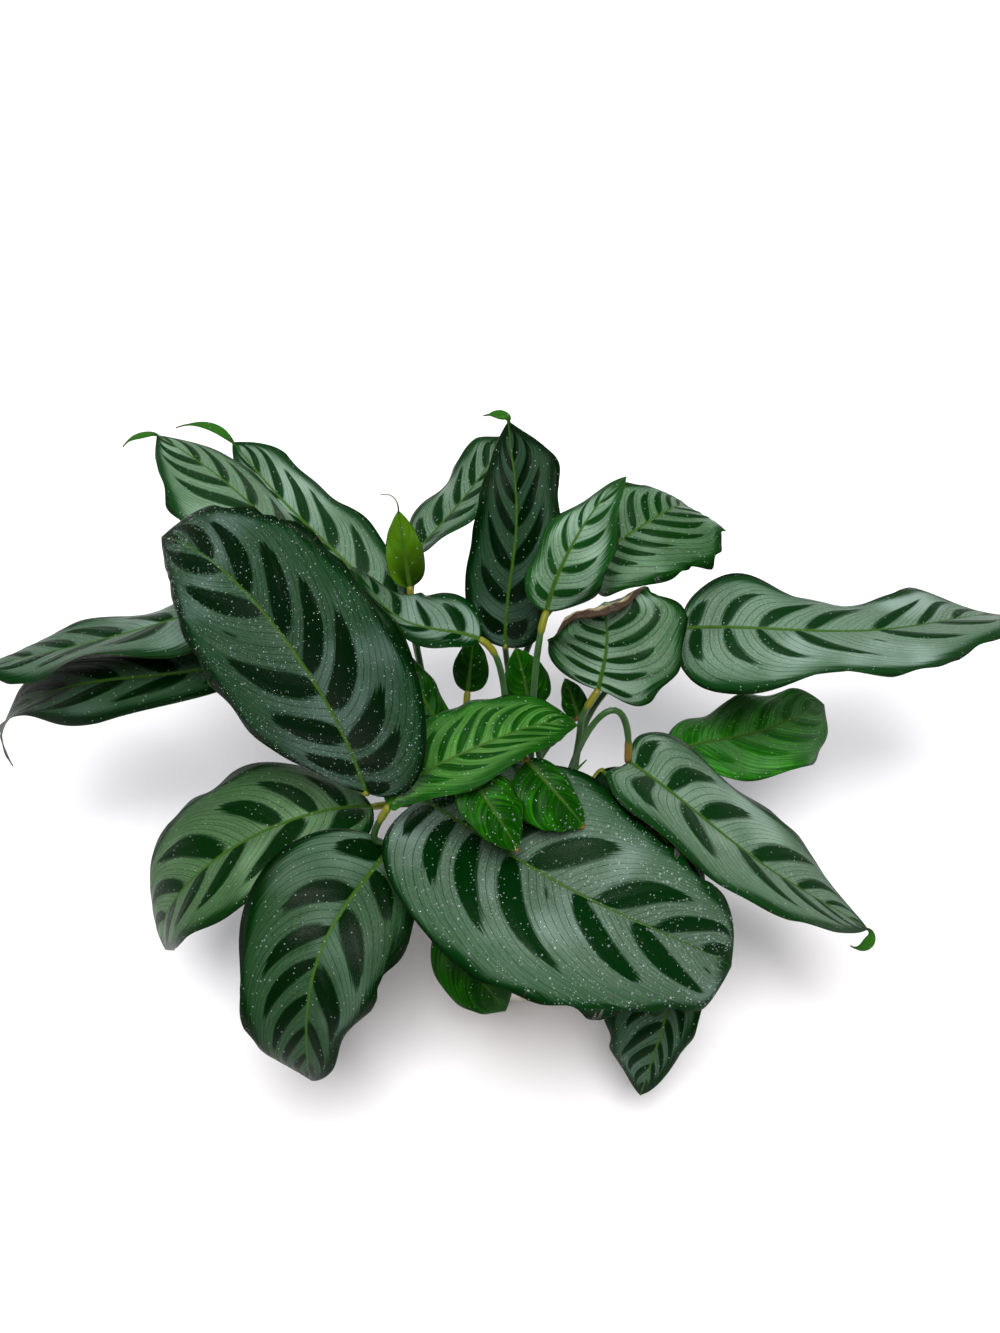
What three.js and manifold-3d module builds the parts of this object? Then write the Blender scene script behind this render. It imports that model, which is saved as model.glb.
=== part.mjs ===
// A peacock plant in a plain round pot: broad patterned leaves on bent stalks that rise from the soil.
// Millimetres, +Z up. The origin is the centre of the pot's foot, on the surface that it stands on.
// The plant's front, the side that faces the viewer, is -Y.

import * as THREE from 'three'
import { mergeVertices } from 'three/addons/utils/BufferGeometryUtils.js'
import Module from 'manifold-3d'

const { clamp, degToRad, lerp, smoothstep } = THREE.MathUtils
const wasm = await Module()
wasm.setup()

// Driving dimensions of the pot and the soil

const POT_HEIGHT = 105
const POT_RIM_RADIUS = 62
const POT_FOOT_RADIUS = 44
const POT_WALL = 4.5
const POT_FLOOR = 6
const RIM_BAND_HEIGHT = 16
const RIM_BAND_OUT = 2
const EDGE_ROUNDING = 1.5
const POT_SIDES = 40
const DRAIN_HOLES = 4
const DRAIN_HOLE_RADIUS = 4
const DRAIN_CIRCLE_RADIUS = 24
const DRAIN_HOLE_SIDES = 12

const SOIL_LEVEL = 92
const SOIL_GAP = 0.4
const SOIL_RINGS = 5
const SOIL_SIDES = 30
const SOIL_DOME = 2
const SOIL_RELIEF = 1.2

// Driving dimensions that all leaves share

const BLADE_THICKNESS = 0.8
const MIDRIB_DEPTH = 0.9
const BASE_HALF_WIDTH = 2.4
const TIP_HALF_WIDTH = 0.4
const MARGIN_CURL = -30
const RIPPLE_WAVES = 2.2
const TAPER = 3
const LOBE_SPREAD = 0.09
const EAR_ROOT = 0.55
const EAR_LENGTH = 0.3
const DRIP_TIP_NECK = 1
const DRIP_TIP_HALF_WIDTH = 2.6
const COURSE_STEPS = 160

const SMALL_LEAF = 60
const LARGE_ROWS = 11
const SMALL_ROWS = 6
const DRIP_TIP_ROWS = 4
const LARGE_COLUMNS = [-1, -0.67, -0.34, -0.06, 0, 0.06, 0.34, 0.67, 1]
const SMALL_COLUMNS = [-1, -0.5, -0.1, 0, 0.1, 0.5, 1]

const STALK_FOOT_RADIUS = 2.3
const STALK_RADIUS = 1.7
const STALK_JOINT_RADIUS = 2
const STALK_JOINT_SHARE = 0.12
const STALK_SIDES = 6
const STALK_RINGS = 9
const STALK_BURIED = 12
const STALK_GAP = 0.5
const HOLE_CLEARANCE = 0.4

// The rolled young leaf, still in its sheath, that stands among the stalks

const SHEATH = { foot: [2, 8], top: [38, 32, 160], lift: 40, radius: 2.4 }

// Each leaf by its own dimensions, in millimetres and degrees.
// base: where the blade meets its stalk. heading: the way the midrib points there, from +X towards +Y,
// with turn and sway added along it. rise: its climb there, less sag by the tip.
// length, left, right: along the midrib, and out to each margin. roll: the tilt about the midrib, base and tip.
// fold: how far the halves stand up. full: how late the blade narrows to its tip.
// wave: the ripple of the left and right margins, in waves, each from its phase.
// lobes: where a margin stands out or in by some millimetres: the side, left -1 or right 1, the place along the
// midrib in hundredths, and how far. ears: how far the left and right halves reach back past the base.
// tip: the share of the length that is a drawn-out drip tip, with its own turn, curl and drop.
// hook: how far the end rolls up, from hook_from.
// stalk: its foot on the soil, how it leaves the soil (lift, splay) and how it comes in to the base
// (reach, lean against the midrib, side).

const LEAVES = [
  {
    base: [-75, -21, 216], heading: 121, turn: 21, sway: 2, rise: 73, sag: 105,
    length: 193, left: 50, right: 57, roll: [56, 20], fold: 18, full: 3.1,
    wave: [2.7, 3.3], phase: [280, 110],
    lobes: [[1, 55, -3], [1, 75, -3], [-1, 20, -3]],
    stalk: { foot: [-6, -5], lift: 80, reach: 80, lean: 60 },
  },
  {
    base: [-50, -2, 176], heading: -43, turn: 36, sway: -4, rise: 22, sag: 67,
    length: 196, left: 58, right: 69, roll: [6, -22], fold: 25, full: 3.2,
    wave: [4.5, 3], waves: 2, phase: [200, 100],
    lobes: [[-1, 94, 10], [1, 94, 11], [-1, 78, 1], [1, 45, 3]],
    stalk: { foot: [-8, -18], lift: 45, reach: 20, lean: 60 },
  },
  {
    base: [-65, -28, 174], heading: -113, turn: 7, sway: -11, rise: 26, sag: 119,
    length: 156, left: 39, right: 47, roll: [18, -4], fold: 14, full: 2.9,
    wave: [2.7, 2.6], phase: [30, 210],
    lobes: [[-1, 75, -5], [1, 88, 3]],
    stalk: { foot: [-22, -11], lift: 15, reach: 20, lean: 20 },
  },
  {
    base: [-78, 2, 161], heading: -164, turn: 15, sway: 2, rise: 29, sag: 119,
    length: 179, left: 38, right: 49, roll: [-16, 4], fold: 14,
    wave: [3.6, 2.7], waves: 2.3, phase: [220, 210],
    lobes: [[1, 55, 5], [1, 72, 3]],
    stalk: { foot: [-23, -1], lift: 15, reach: 60, lean: -20, splay: 20 },
  },
  {
    base: [-144, 89, 231], heading: -163, turn: -21, sway: 2, rise: -5, sag: 19,
    length: 160, left: 34, right: 32, roll: [-25, -27], fold: 13,
    wave: [7.9, 5], waves: 1.7, phase: [160, 60],
    lobes: [[1, 82, 6], [1, 30, -3]],
    stalk: { foot: [-20, 7], lift: 80, reach: 80, lean: 60, splay: 10 },
  },
  {
    base: [-139, 77, 197], heading: -137, turn: -99, sway: -15, rise: 21, sag: 104,
    length: 238, left: 25, right: 26, roll: [-2, 6], fold: 16, full: 2.8,
    wave: [6, 4.4], waves: 1.7, phase: [10, 60],
    tip: 0.16, tip_turn: 60, tip_curl: -15, tip_drop: 10,
    lobes: [[-1, 62, -5], [-1, 40, 2]],
    stalk: { foot: [-13, 11], lift: 80, reach: 80, lean: 20 },
  },
  {
    base: [-90, 83, 220], heading: 129, turn: 9, sway: -2, rise: 15, sag: 28,
    length: 200, left: 49, right: 40, roll: [-50, -7], fold: 2,
    wave: [3, 3], waves: 2.1, phase: [240, 300],
    tip: 0.12, tip_turn: 20, tip_curl: 95, tip_drop: -10,
    lobes: [[1, 78, 4]],
    stalk: { foot: [-10, 21], lift: 100, reach: 60, lean: 60 },
  },
  {
    base: [-67, 112, 180], heading: 132, turn: -4, sway: 6, rise: 24, sag: 41,
    length: 203, left: 24, right: 32, roll: [-5, 6], fold: 19, full: 3.1,
    wave: [3.1, 3.7], phase: [100, 230],
    tip: 0.2, tip_turn: -5, tip_curl: 90, tip_drop: -20,
    lobes: [[1, 69, 4], [1, 38, -4], [1, 20, -4]],
    stalk: { foot: [-25, 13], lift: 45, reach: 80, lean: 60, splay: 10 },
  },
  {
    base: [-60, 121, 200], heading: 104, turn: -4, sway: 1, rise: 63, sag: 20,
    length: 44, left: 12, right: 12, roll: [0, 0], fold: 14,
    wave: [1.2, 1.2], phase: [130, 30],
    stalk: { foot: [-29, 9], lift: 75, reach: 75, lean: 5, splay: 15, side: -10 },
  },
  {
    base: [-57, 150, 195], heading: 45, turn: -4, sway: -5, rise: 28, sag: -6,
    length: 85, left: 29, right: 26, roll: [36, 13], fold: 22, full: 3.1,
    wave: [4.2, 3.2], waves: 1.6, phase: [350, 0],
    lobes: [[-1, 86, 5], [-1, 10, 4]],
    stalk: { foot: [-19, 27], lift: 30, reach: 80, lean: 40, splay: 15 },
  },
  {
    base: [-6, 91, 184], heading: 94, turn: -12, sway: -13, rise: 66, sag: 53,
    length: 144, left: 28, right: 33, roll: [20, 11], fold: 27, full: 2.9,
    wave: [2.5, 2.7], phase: [340, 120],
    tip: 0.11, tip_turn: 60, tip_curl: 60, tip_drop: 10,
    lobes: [[1, 72, 8], [-1, 30, 2]],
    stalk: { foot: [6, 37], lift: 20, reach: 70, lean: 80, splay: 20 },
  },
  {
    base: [15, 80, 231], heading: 67, turn: -32, sway: -3, rise: 63, sag: 47,
    length: 84, left: 21, right: 26, roll: [-25, 31], fold: 6, full: 2.9,
    wave: [2.4, 2], waves: 2.1, phase: [70, 210],
    lobes: [[-1, 30, -2]],
    stalk: { foot: [9, -20], lift: 12, reach: 36, lean: -38, splay: 6 },
  },
  {
    base: [39, 128, 202], heading: 30, turn: 11, sway: -10, rise: 64, sag: 120,
    length: 93, left: 41, right: 45, roll: [19, -4], fold: 15, full: 3.3,
    wave: [3.5, 4.6], waves: 1.5, phase: [80, 340],
    lobes: [[1, 62, 7], [1, 82, 7], [-1, 70, -3]],
    stalk: { foot: [5, 21], lift: 60, reach: 80, lean: -40 },
  },
  {
    base: [43, 52, 199], heading: 73, turn: 43, sway: -9, rise: 52, sag: 2,
    length: 61, left: 35, right: 45, roll: [0, 1], fold: 15, full: 3.1,
    wave: [1.5, 1.5], phase: [350, 330],
    hook: 150, hook_from: 0.7,
    lobes: [[1, 60, 7], [1, 18, -6]],
    ears: [0, 7],
    stalk: { foot: [22, 22], lift: 115, reach: 35, lean: -15, splay: 20, side: -25 },
  },
  {
    base: [91, 99, 190], heading: -10, turn: 37, sway: -8, rise: 20, sag: 53,
    length: 208, left: 42, right: 48, roll: [-2, 28], fold: 15, full: 2.2,
    wave: [9, 5.5], waves: 1.5, phase: [40, 240],
    lobes: [
      [-1, 12, 4], [-1, 29, -6], [-1, 50, -3], [-1, 79, 10],
      [1, 8, 6], [1, 22, 4], [1, 38, -4], [1, 54, 2], [1, 87, 8],
    ],
    ears: [3, 5],
    stalk: { foot: [29, 25], lift: 80, reach: 105, lean: 30, splay: 10, side: 15 },
  },
  {
    base: [86, 48, 142], heading: 20, turn: 16, sway: -9, rise: 3, sag: 36,
    length: 121, left: 31, right: 37, roll: [26, -19], fold: 14, full: 3.1,
    wave: [2.6, 2.6], waves: 2.3, phase: [20, 30],
    lobes: [[-1, 25, -4], [-1, 88, 4], [1, 85, 2]],
    stalk: { foot: [30, 14], lift: 30, reach: 45, lean: 40, splay: 10 },
  },
  {
    base: [57, 11, 193], heading: -25, turn: 7, sway: -7, rise: -23, sag: 16,
    length: 191, left: 45, right: 38, roll: [21, 15], fold: 16, full: 3.1,
    wave: [4.4, 3.1], waves: 2, phase: [40, 330],
    tip: 0.11, tip_turn: -40, tip_curl: -190, tip_drop: 0,
    lobes: [[-1, 8, 5], [-1, 68, 3], [1, 47, -5], [1, 6, 8]],
    ears: [6, 14],
    stalk: { foot: [22, 10], lift: 150, reach: 55, lean: -30, side: -70 },
  },
  {
    base: [48, 37, 140], heading: -48, turn: -5, sway: 2, rise: -2, sag: 44,
    length: 101, left: 23, right: 30, roll: [8, 9], fold: 12, full: 3.1,
    wave: [2.1, 2.4], phase: [300, 70],
    stalk: { foot: [28, 4], lift: 45, reach: 10, lean: 60, splay: 10 },
  },
  {
    base: [93, -43, 122], heading: -103, turn: -14, sway: 0, rise: -16, sag: 58,
    length: 113, left: 20, right: 34, roll: [9, 9], fold: 13,
    wave: [2.6, 2.3], phase: [60, 330],
    lobes: [[1, 76, 4], [1, 55, 3]],
    stalk: { foot: [22, -4], lift: 80, reach: 45, lean: -40 },
  },
  {
    base: [-26, -43, 130], heading: -84, turn: 49, sway: -16, rise: -16, sag: 48,
    length: 66, left: 24, right: 23, roll: [-6, -27], fold: 16, full: 3.1,
    wave: [1.8, 1.7], phase: [170, 110],
    stalk: { foot: [-14, -10], lift: 15, reach: 10, lean: 60 },
  },
  {
    base: [-64, -28, 215], heading: 44, turn: -39, sway: -12, rise: 40, sag: 72,
    length: 111, left: 32, right: 28, roll: [26, 2], fold: 21, full: 3.1,
    wave: [3.7, 3.2], waves: 2.1, phase: [200, 350],
    lobes: [[-1, 58, 5], [1, 5, -6]],
    stalk: { foot: [6, -1], lift: 125, reach: 70, lean: 20, splay: 20, side: -20 },
  },
  {
    base: [-20, 67, 224], heading: 168, turn: -29, sway: 22, rise: 22, sag: 21,
    length: 86, left: 13, right: 30, roll: [9, -47], fold: 15, full: 2.9,
    wave: [2.3, 2.6], phase: [0, 10],
    stalk: { foot: [-1, 21], lift: 105, reach: 20, lean: 5, splay: 10 },
  },
  {
    base: [-28, 84, 150], heading: 78, turn: 2, sway: -1, rise: 59, sag: 10,
    length: 33, left: 11, right: 12, roll: [0, 0], fold: 14,
    wave: [1, 1], phase: [130, 30],
    stalk: { foot: [-5, 35], lift: 15, reach: 30, lean: -20, splay: 10 },
  },
  {
    base: [7, 62, 164], heading: 111, turn: 2, sway: -1, rise: 72, sag: 30,
    length: 39, left: 14, right: 16, roll: [3, 1], fold: 14,
    wave: [1.1, 1.1], phase: [350, 300],
    stalk: { foot: [12, 26], lift: 15, reach: 80, lean: -20, splay: 20 },
  },
  {
    base: [35, 67, 149], heading: 116, turn: 2, sway: 0, rise: 54, sag: 20,
    length: 24, left: 8, right: 9, roll: [1, 1], fold: 14,
    wave: [0.8, 0.8], phase: [340, 260],
    stalk: { foot: [-4, 29], lift: 35, reach: 25, lean: 70, splay: 10, side: 20 },
  },
  {
    base: [-25, -19, 231], heading: -55, turn: 5, sway: -1, rise: -1, sag: 50,
    length: 46, left: 16, right: 16, roll: [-1, 3], fold: 14,
    wave: [1.3, 1.2], phase: [190, 50],
    lobes: [[-1, 60, 3]],
    stalk: { foot: [-10, 4], lift: 45, reach: 80, lean: 20 },
  },
  {
    base: [4, -7, 223], heading: -46, turn: 9, sway: -3, rise: -6, sag: 46,
    length: 45, left: 11, right: 24, roll: [0, -12], fold: 14,
    wave: [1.1, 1.2], phase: [130, 260],
    stalk: { foot: [-5, 16], lift: 70, reach: 65, lean: 45, splay: 5, side: -25 },
  },
  {
    base: [-39, 35, 180], heading: 132, turn: -13, sway: 3, rise: 49, sag: 21,
    length: 55, left: 14, right: 12, roll: [-2, -10], fold: 11,
    wave: [1.5, 1.6], phase: [330, 0],
    stalk: { foot: [-29, -8], lift: 100, reach: 45, lean: 40, splay: 10 },
  },
]

// Solids that are joined or cut

function solid(geometry) {
  const bare = geometry.clone()
  bare.deleteAttribute('normal')
  bare.deleteAttribute('uv')
  const merged = mergeVertices(bare)
  return new wasm.Manifold(new wasm.Mesh({
    numProp: 3,
    vertProperties: new Float32Array(merged.attributes.position.array),
    triVerts: new Uint32Array(merged.index.array),
  }))
}

function geometryOf(body) {
  const mesh = body.getMesh()
  const geometry = new THREE.BufferGeometry()
  geometry.setAttribute('position', new THREE.BufferAttribute(mesh.vertProperties, 3))
  geometry.setIndex(new THREE.BufferAttribute(mesh.triVerts, 1))
  return geometry
}

function named(name, geometry, material) {
  geometry.computeVertexNormals()
  const mesh = new THREE.Mesh(geometry, material)
  mesh.name = name
  return mesh
}

// Materials

function leafMaterial() {
  return new THREE.MeshStandardMaterial({ color: 0x3f6a47, roughness: 0.38, metalness: 0 })
}

function youngLeafMaterial() {
  return new THREE.MeshStandardMaterial({ color: 0x2c6a2c, roughness: 0.4, metalness: 0 })
}

function stalkMaterial() {
  return new THREE.MeshStandardMaterial({ color: 0x6f7d2c, roughness: 0.5, metalness: 0 })
}

function sheathMaterial() {
  return new THREE.MeshStandardMaterial({ color: 0x5a3c26, roughness: 0.7, metalness: 0 })
}

function soilMaterial() {
  return new THREE.MeshStandardMaterial({ color: 0x2b211a, roughness: 0.95, metalness: 0 })
}

function potMaterial() {
  return new THREE.MeshStandardMaterial({ color: 0xe6e3dd, roughness: 0.35, metalness: 0 })
}

// The pot

function wallRadius(height) {
  return lerp(POT_FOOT_RADIUS, POT_RIM_RADIUS - RIM_BAND_OUT, height / POT_HEIGHT)
}

function quarterRound(x, z, from) {
  const steps = 2
  const points = []
  for (let i = 0; i <= steps; i += 1) {
    const angle = degToRad(from + 90 * i / steps)
    points.push(new THREE.Vector2(x + EDGE_ROUNDING * Math.cos(angle), z + EDGE_ROUNDING * Math.sin(angle)))
  }
  return points
}

function pot() {
  const bandFoot = POT_HEIGHT - RIM_BAND_HEIGHT
  const innerRim = POT_RIM_RADIUS - RIM_BAND_OUT - POT_WALL
  const profile = [
    new THREE.Vector2(0, 0),
    ...quarterRound(POT_FOOT_RADIUS - EDGE_ROUNDING, EDGE_ROUNDING, -90),
    new THREE.Vector2(wallRadius(bandFoot), bandFoot),
    ...quarterRound(POT_RIM_RADIUS - EDGE_ROUNDING, bandFoot + EDGE_ROUNDING, -90),
    ...quarterRound(POT_RIM_RADIUS - EDGE_ROUNDING, POT_HEIGHT - EDGE_ROUNDING, 0),
    ...quarterRound(innerRim + EDGE_ROUNDING, POT_HEIGHT - EDGE_ROUNDING, 90),
    new THREE.Vector2(wallRadius(POT_FLOOR) - POT_WALL, POT_FLOOR),
    new THREE.Vector2(0, POT_FLOOR),
  ]
  let body = solid(new THREE.LatheGeometry(profile, POT_SIDES).rotateX(Math.PI / 2))
  for (let i = 0; i < DRAIN_HOLES; i += 1) {
    const angle = 2 * Math.PI * (i + 0.5) / DRAIN_HOLES
    const drill = new THREE.CylinderGeometry(
      DRAIN_HOLE_RADIUS, DRAIN_HOLE_RADIUS, 3 * POT_FLOOR, DRAIN_HOLE_SIDES)
    drill.rotateX(Math.PI / 2)
    drill.translate(DRAIN_CIRCLE_RADIUS * Math.cos(angle), DRAIN_CIRCLE_RADIUS * Math.sin(angle), 0)
    body = body.subtract(solid(drill))
  }
  return geometryOf(body)
}

// The soil, which fills the pot to a low uneven dome and has a plain hole for each stalk

function soilRise(x, y) {
  const out = clamp(Math.hypot(x, y) / wallRadius(SOIL_LEVEL), 0, 1)
  const lumps = Math.sin(0.19 * x + 0.7) * Math.cos(0.23 * y) + 0.6 * Math.sin(0.41 * x - 0.33 * y + 1.9)
  return SOIL_DOME * (1 - out ** 2) + SOIL_RELIEF * lumps * (1 - out ** 4)
}

function soil(cutters) {
  const radiusAt = (height) => wallRadius(height) - POT_WALL - SOIL_GAP
  const foot = POT_FLOOR + SOIL_GAP
  const profile = [
    new THREE.Vector2(0, foot),
    new THREE.Vector2(radiusAt(foot), foot),
  ]
  for (let ring = SOIL_RINGS; ring >= 0; ring -= 1) {
    profile.push(new THREE.Vector2(radiusAt(SOIL_LEVEL) * ring / SOIL_RINGS, SOIL_LEVEL))
  }
  const geometry = new THREE.LatheGeometry(profile, SOIL_SIDES).rotateX(Math.PI / 2)
  const position = geometry.attributes.position
  for (let i = 0; i < position.count; i += 1) {
    if (position.getZ(i) > foot + 1) {
      position.setZ(i, SOIL_LEVEL + soilRise(position.getX(i), position.getY(i)))
    }
  }
  let body = solid(geometry)
  for (const cutter of cutters) {
    body = body.subtract(cutter)
  }
  return geometryOf(body)
}

// A leaf's midrib

function aim(leaf, share) {
  const { tip = 0, tip_turn = 0, tip_curl = 0, tip_drop = 0, hook = 0, hook_from = 1 } = leaf
  const inTip = tip > 0 ? clamp((share - (1 - tip)) / tip, 0, 1) : 0
  const kick = smoothstep(inTip, 0, 0.25)
  const rolled = hook > 0 ? clamp((share - hook_from) / (1 - hook_from), 0, 1) : 0
  const swing = leaf.sway * Math.sin(2 * Math.PI * share)
  const yaw = leaf.heading + leaf.turn * share + swing + tip_turn * kick + tip_curl * inTip
  const pitch = leaf.rise - leaf.sag * share - tip_drop * kick + hook * rolled
  return { yaw: degToRad(yaw), pitch: degToRad(pitch) }
}

function direction({ yaw, pitch }) {
  return new THREE.Vector3(
    Math.cos(yaw) * Math.cos(pitch), Math.sin(yaw) * Math.cos(pitch), Math.sin(pitch))
}

function midribCourse(leaf) {
  const points = [new THREE.Vector3(...leaf.base)]
  for (let i = 0; i < COURSE_STEPS; i += 1) {
    const step = direction(aim(leaf, (i + 0.5) / COURSE_STEPS)).multiplyScalar(leaf.length / COURSE_STEPS)
    points.push(points[i].clone().add(step))
  }
  return points
}

function midribFrame(leaf, course, share) {
  const place = clamp(share, 0, 1) * COURSE_STEPS
  const before = Math.min(Math.floor(place), COURSE_STEPS - 1)
  const centre = course[before].clone().lerp(course[before + 1], place - before)
  const towards = aim(leaf, share)
  const flatSide = new THREE.Vector3(Math.sin(towards.yaw), -Math.cos(towards.yaw), 0)
  const flatUp = flatSide.clone().cross(direction(towards))
  const roll = degToRad(lerp(leaf.roll[0], leaf.roll[1], share))
  const side = flatSide.clone().multiplyScalar(Math.cos(roll)).addScaledVector(flatUp, Math.sin(roll))
  const up = flatUp.clone().multiplyScalar(Math.cos(roll)).addScaledVector(flatSide, -Math.sin(roll))
  return { centre, side, up, ahead: direction(towards) }
}

// A leaf's blade: its outline, then a point of its middle surface, then the closed body

function halfWidth(leaf, share, hand) {
  const { tip = 0, full = TAPER, lobes = [] } = leaf
  const body = clamp(share / (1 - tip), 0, 1)
  const widest = hand ? leaf.right : leaf.left
  let width = widest * Math.sqrt(1 - (1 - body) ** 6) * (1 - body ** full) ** 0.9
  for (const [side, place, more] of lobes) {
    const apart = (share - place / 100) / LOBE_SPREAD
    const ends = (1 - body ** 30) * (1 - (1 - body) ** 30)
    if ((side > 0) === (hand > 0)) width += more * Math.exp(-(apart ** 2)) * ends
  }
  if (tip > 0) {
    const inTip = clamp((share - (1 - tip)) / tip, 0, 1)
    const swell = Math.sin(Math.PI * Math.min(1.25 * inTip, 1))
    const lens = lerp(DRIP_TIP_NECK, DRIP_TIP_HALF_WIDTH, swell) * (1 - inTip ** 6)
    width = inTip > 0 ? lens : Math.max(width, DRIP_TIP_NECK)
  }
  return Math.max(width, lerp(BASE_HALF_WIDTH, TIP_HALF_WIDTH, share))
}

function bladePoint(leaf, course, share, across) {
  const { centre, side, up, ahead } = midribFrame(leaf, course, share)
  const hand = across < 0 ? 0 : 1
  const out = Math.abs(across)
  const width = halfWidth(leaf, share, hand)
  const fold = degToRad(leaf.fold)
  const curl = degToRad(MARGIN_CURL)
  const reach = width * (Math.sin(fold + curl * out) - Math.sin(fold)) / curl
  const lift = width * (Math.cos(fold) - Math.cos(fold + curl * out)) / curl
  const { waves = RIPPLE_WAVES, tip = 0, ears = [0, 0] } = leaf
  const calm = Math.sin(Math.PI * clamp(share / (1 - tip), 0, 1)) ** 0.6
  const cycle = 2 * Math.PI * waves * share + degToRad(leaf.phase[hand])
  const ripple = leaf.wave[hand] * out ** 2 * Math.sin(cycle) * calm
  const beside = smoothstep(out * width, 0, EAR_ROOT * (hand ? leaf.right : leaf.left))
  const back = ears[hand] * beside * (1 - smoothstep(share, 0, EAR_LENGTH))
  return centre.addScaledVector(side, Math.sign(across) * reach).addScaledVector(up, lift + ripple)
    .addScaledVector(ahead, -back)
}

function bladeNormal(leaf, course, share, across) {
  const ahead = bladePoint(leaf, course, Math.min(share + 0.005, 1), across)
  const behind = bladePoint(leaf, course, Math.max(share - 0.005, 0), across)
  const right = bladePoint(leaf, course, share, Math.min(across + 0.03, 1))
  const left = bladePoint(leaf, course, share, Math.max(across - 0.03, -1))
  return right.sub(left).cross(ahead.sub(behind)).normalize()
}

function rowShares(leaf) {
  const rows = leaf.length < SMALL_LEAF ? SMALL_ROWS : LARGE_ROWS
  const { tip = 0 } = leaf
  const shares = []
  for (let i = 0; i <= rows; i += 1) {
    const even = i / rows
    const eased = (1 - Math.cos(Math.PI * even)) / 2
    shares.push((1 - tip) * (even + eased) / 2)
  }
  for (let i = 1; tip > 0 && i <= DRIP_TIP_ROWS; i += 1) {
    shares.push(1 - tip + tip * i / DRIP_TIP_ROWS)
  }
  return shares
}

// Two like grids, one the other's underside, and a strip round their edge, which close into one body
function closedSheet(rows, columns, pointOn) {
  const grid = new THREE.PlaneGeometry(1, 1, columns - 1, rows - 1)
  const count = rows * columns
  const points = []
  for (const face of [1, -1]) {
    for (let i = 0; i < count; i += 1) {
      const row = rows - 1 - Math.floor(i / columns)
      points.push(...pointOn(row, i % columns, face).toArray())
    }
  }
  const faces = [...grid.index.array]
  for (let i = 0; i < grid.index.count; i += 3) {
    const [a, b, c] = grid.index.array.slice(i, i + 3)
    faces.push(a + count, c + count, b + count)
  }
  const edge = []
  for (let row = 0; row < rows - 1; row += 1) edge.push(row * columns)
  for (let column = 0; column < columns - 1; column += 1) edge.push((rows - 1) * columns + column)
  for (let row = rows - 1; row > 0; row -= 1) edge.push(row * columns + columns - 1)
  for (let column = columns - 1; column > 0; column -= 1) edge.push(column)
  edge.forEach((here, i) => {
    const next = edge[(i + 1) % edge.length]
    faces.push(here, here + count, next + count, here, next + count, next)
  })
  const geometry = new THREE.BufferGeometry()
  geometry.setAttribute('position', new THREE.Float32BufferAttribute(points, 3))
  geometry.setIndex(faces)
  return geometry
}

function blade(leaf, course) {
  const shares = rowShares(leaf)
  const columns = leaf.length < SMALL_LEAF ? SMALL_COLUMNS : LARGE_COLUMNS
  return closedSheet(shares.length, columns.length, (row, column, face) => {
    const share = shares[row]
    const across = columns[column]
    const point = bladePoint(leaf, course, share, across)
    const normal = bladeNormal(leaf, course, share, across)
    const rib = face < 0 && across === 0 ? MIDRIB_DEPTH * (1 - share) : 0
    return point.addScaledVector(normal, face * (BLADE_THICKNESS / 2 + rib))
  })
}

// A leaf's stalk: straight in the soil, then one bend up to the blade

function stalkArrival(leaf) {
  const { lean = 0, side = 0 } = leaf.stalk
  return direction({ yaw: degToRad(leaf.heading + side), pitch: degToRad(leaf.rise + lean) })
}

// How far the blade's base reaches back past its own corner, along the stalk
function setback(leaf, course, arrival) {
  const corner = new THREE.Vector3(...leaf.base)
  let back = 0
  for (const across of [-1, 0, 1]) {
    for (const face of [-1, 1]) {
      const point = bladePoint(leaf, course, 0, across)
      const rib = across === 0 && face < 0 ? MIDRIB_DEPTH : 0
      point.addScaledVector(bladeNormal(leaf, course, 0, across), face * (BLADE_THICKNESS / 2 + rib))
      back = Math.max(back, -point.sub(corner).dot(arrival))
    }
  }
  return back
}

function stalkCourse(leaf, course, extra) {
  const { foot, lift, reach, splay = 0 } = leaf.stalk
  const ground = new THREE.Vector3(foot[0], foot[1], SOIL_LEVEL)
  const arrival = stalkArrival(leaf)
  const end = new THREE.Vector3(...leaf.base)
  const outward = new THREE.Vector3(end.x - ground.x, end.y - ground.y, 0).normalize()
  const leaving = outward.multiplyScalar(Math.sin(degToRad(splay)))
  leaving.z = Math.cos(degToRad(splay))
  const before = end.clone().addScaledVector(arrival, -reach)
  end.addScaledVector(arrival, -STALK_GAP - setback(leaf, course, arrival))
  const path = new THREE.CurvePath()
  const root = ground.clone().addScaledVector(leaving, -STALK_BURIED - extra)
  path.add(new THREE.LineCurve3(root, ground))
  path.add(new THREE.CubicBezierCurve3(ground, ground.clone().addScaledVector(leaving, lift), before, end))
  return path
}


// A closed round rod that follows a path, with its radius given by the share of the path's length
function rod(path, rings, radiusAt) {
  const geometry = new THREE.CylinderGeometry(1, 1, 1, STALK_SIDES, rings)
  const frames = path.computeFrenetFrames(rings, false)
  const position = geometry.attributes.position
  const points = Array.from({ length: rings + 1 }, (_, ring) => path.getPointAt(ring / rings))
  for (let i = 0; i < position.count; i += 1) {
    const share = position.getY(i) + 0.5
    const ring = Math.round(share * rings)
    const radius = radiusAt(share)
    const point = points[ring].clone()
    point.addScaledVector(frames.normals[ring], -position.getX(i) * radius)
    point.addScaledVector(frames.binormals[ring], position.getZ(i) * radius)
    position.setXYZ(i, point.x, point.y, point.z)
  }
  return geometry
}

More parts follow.
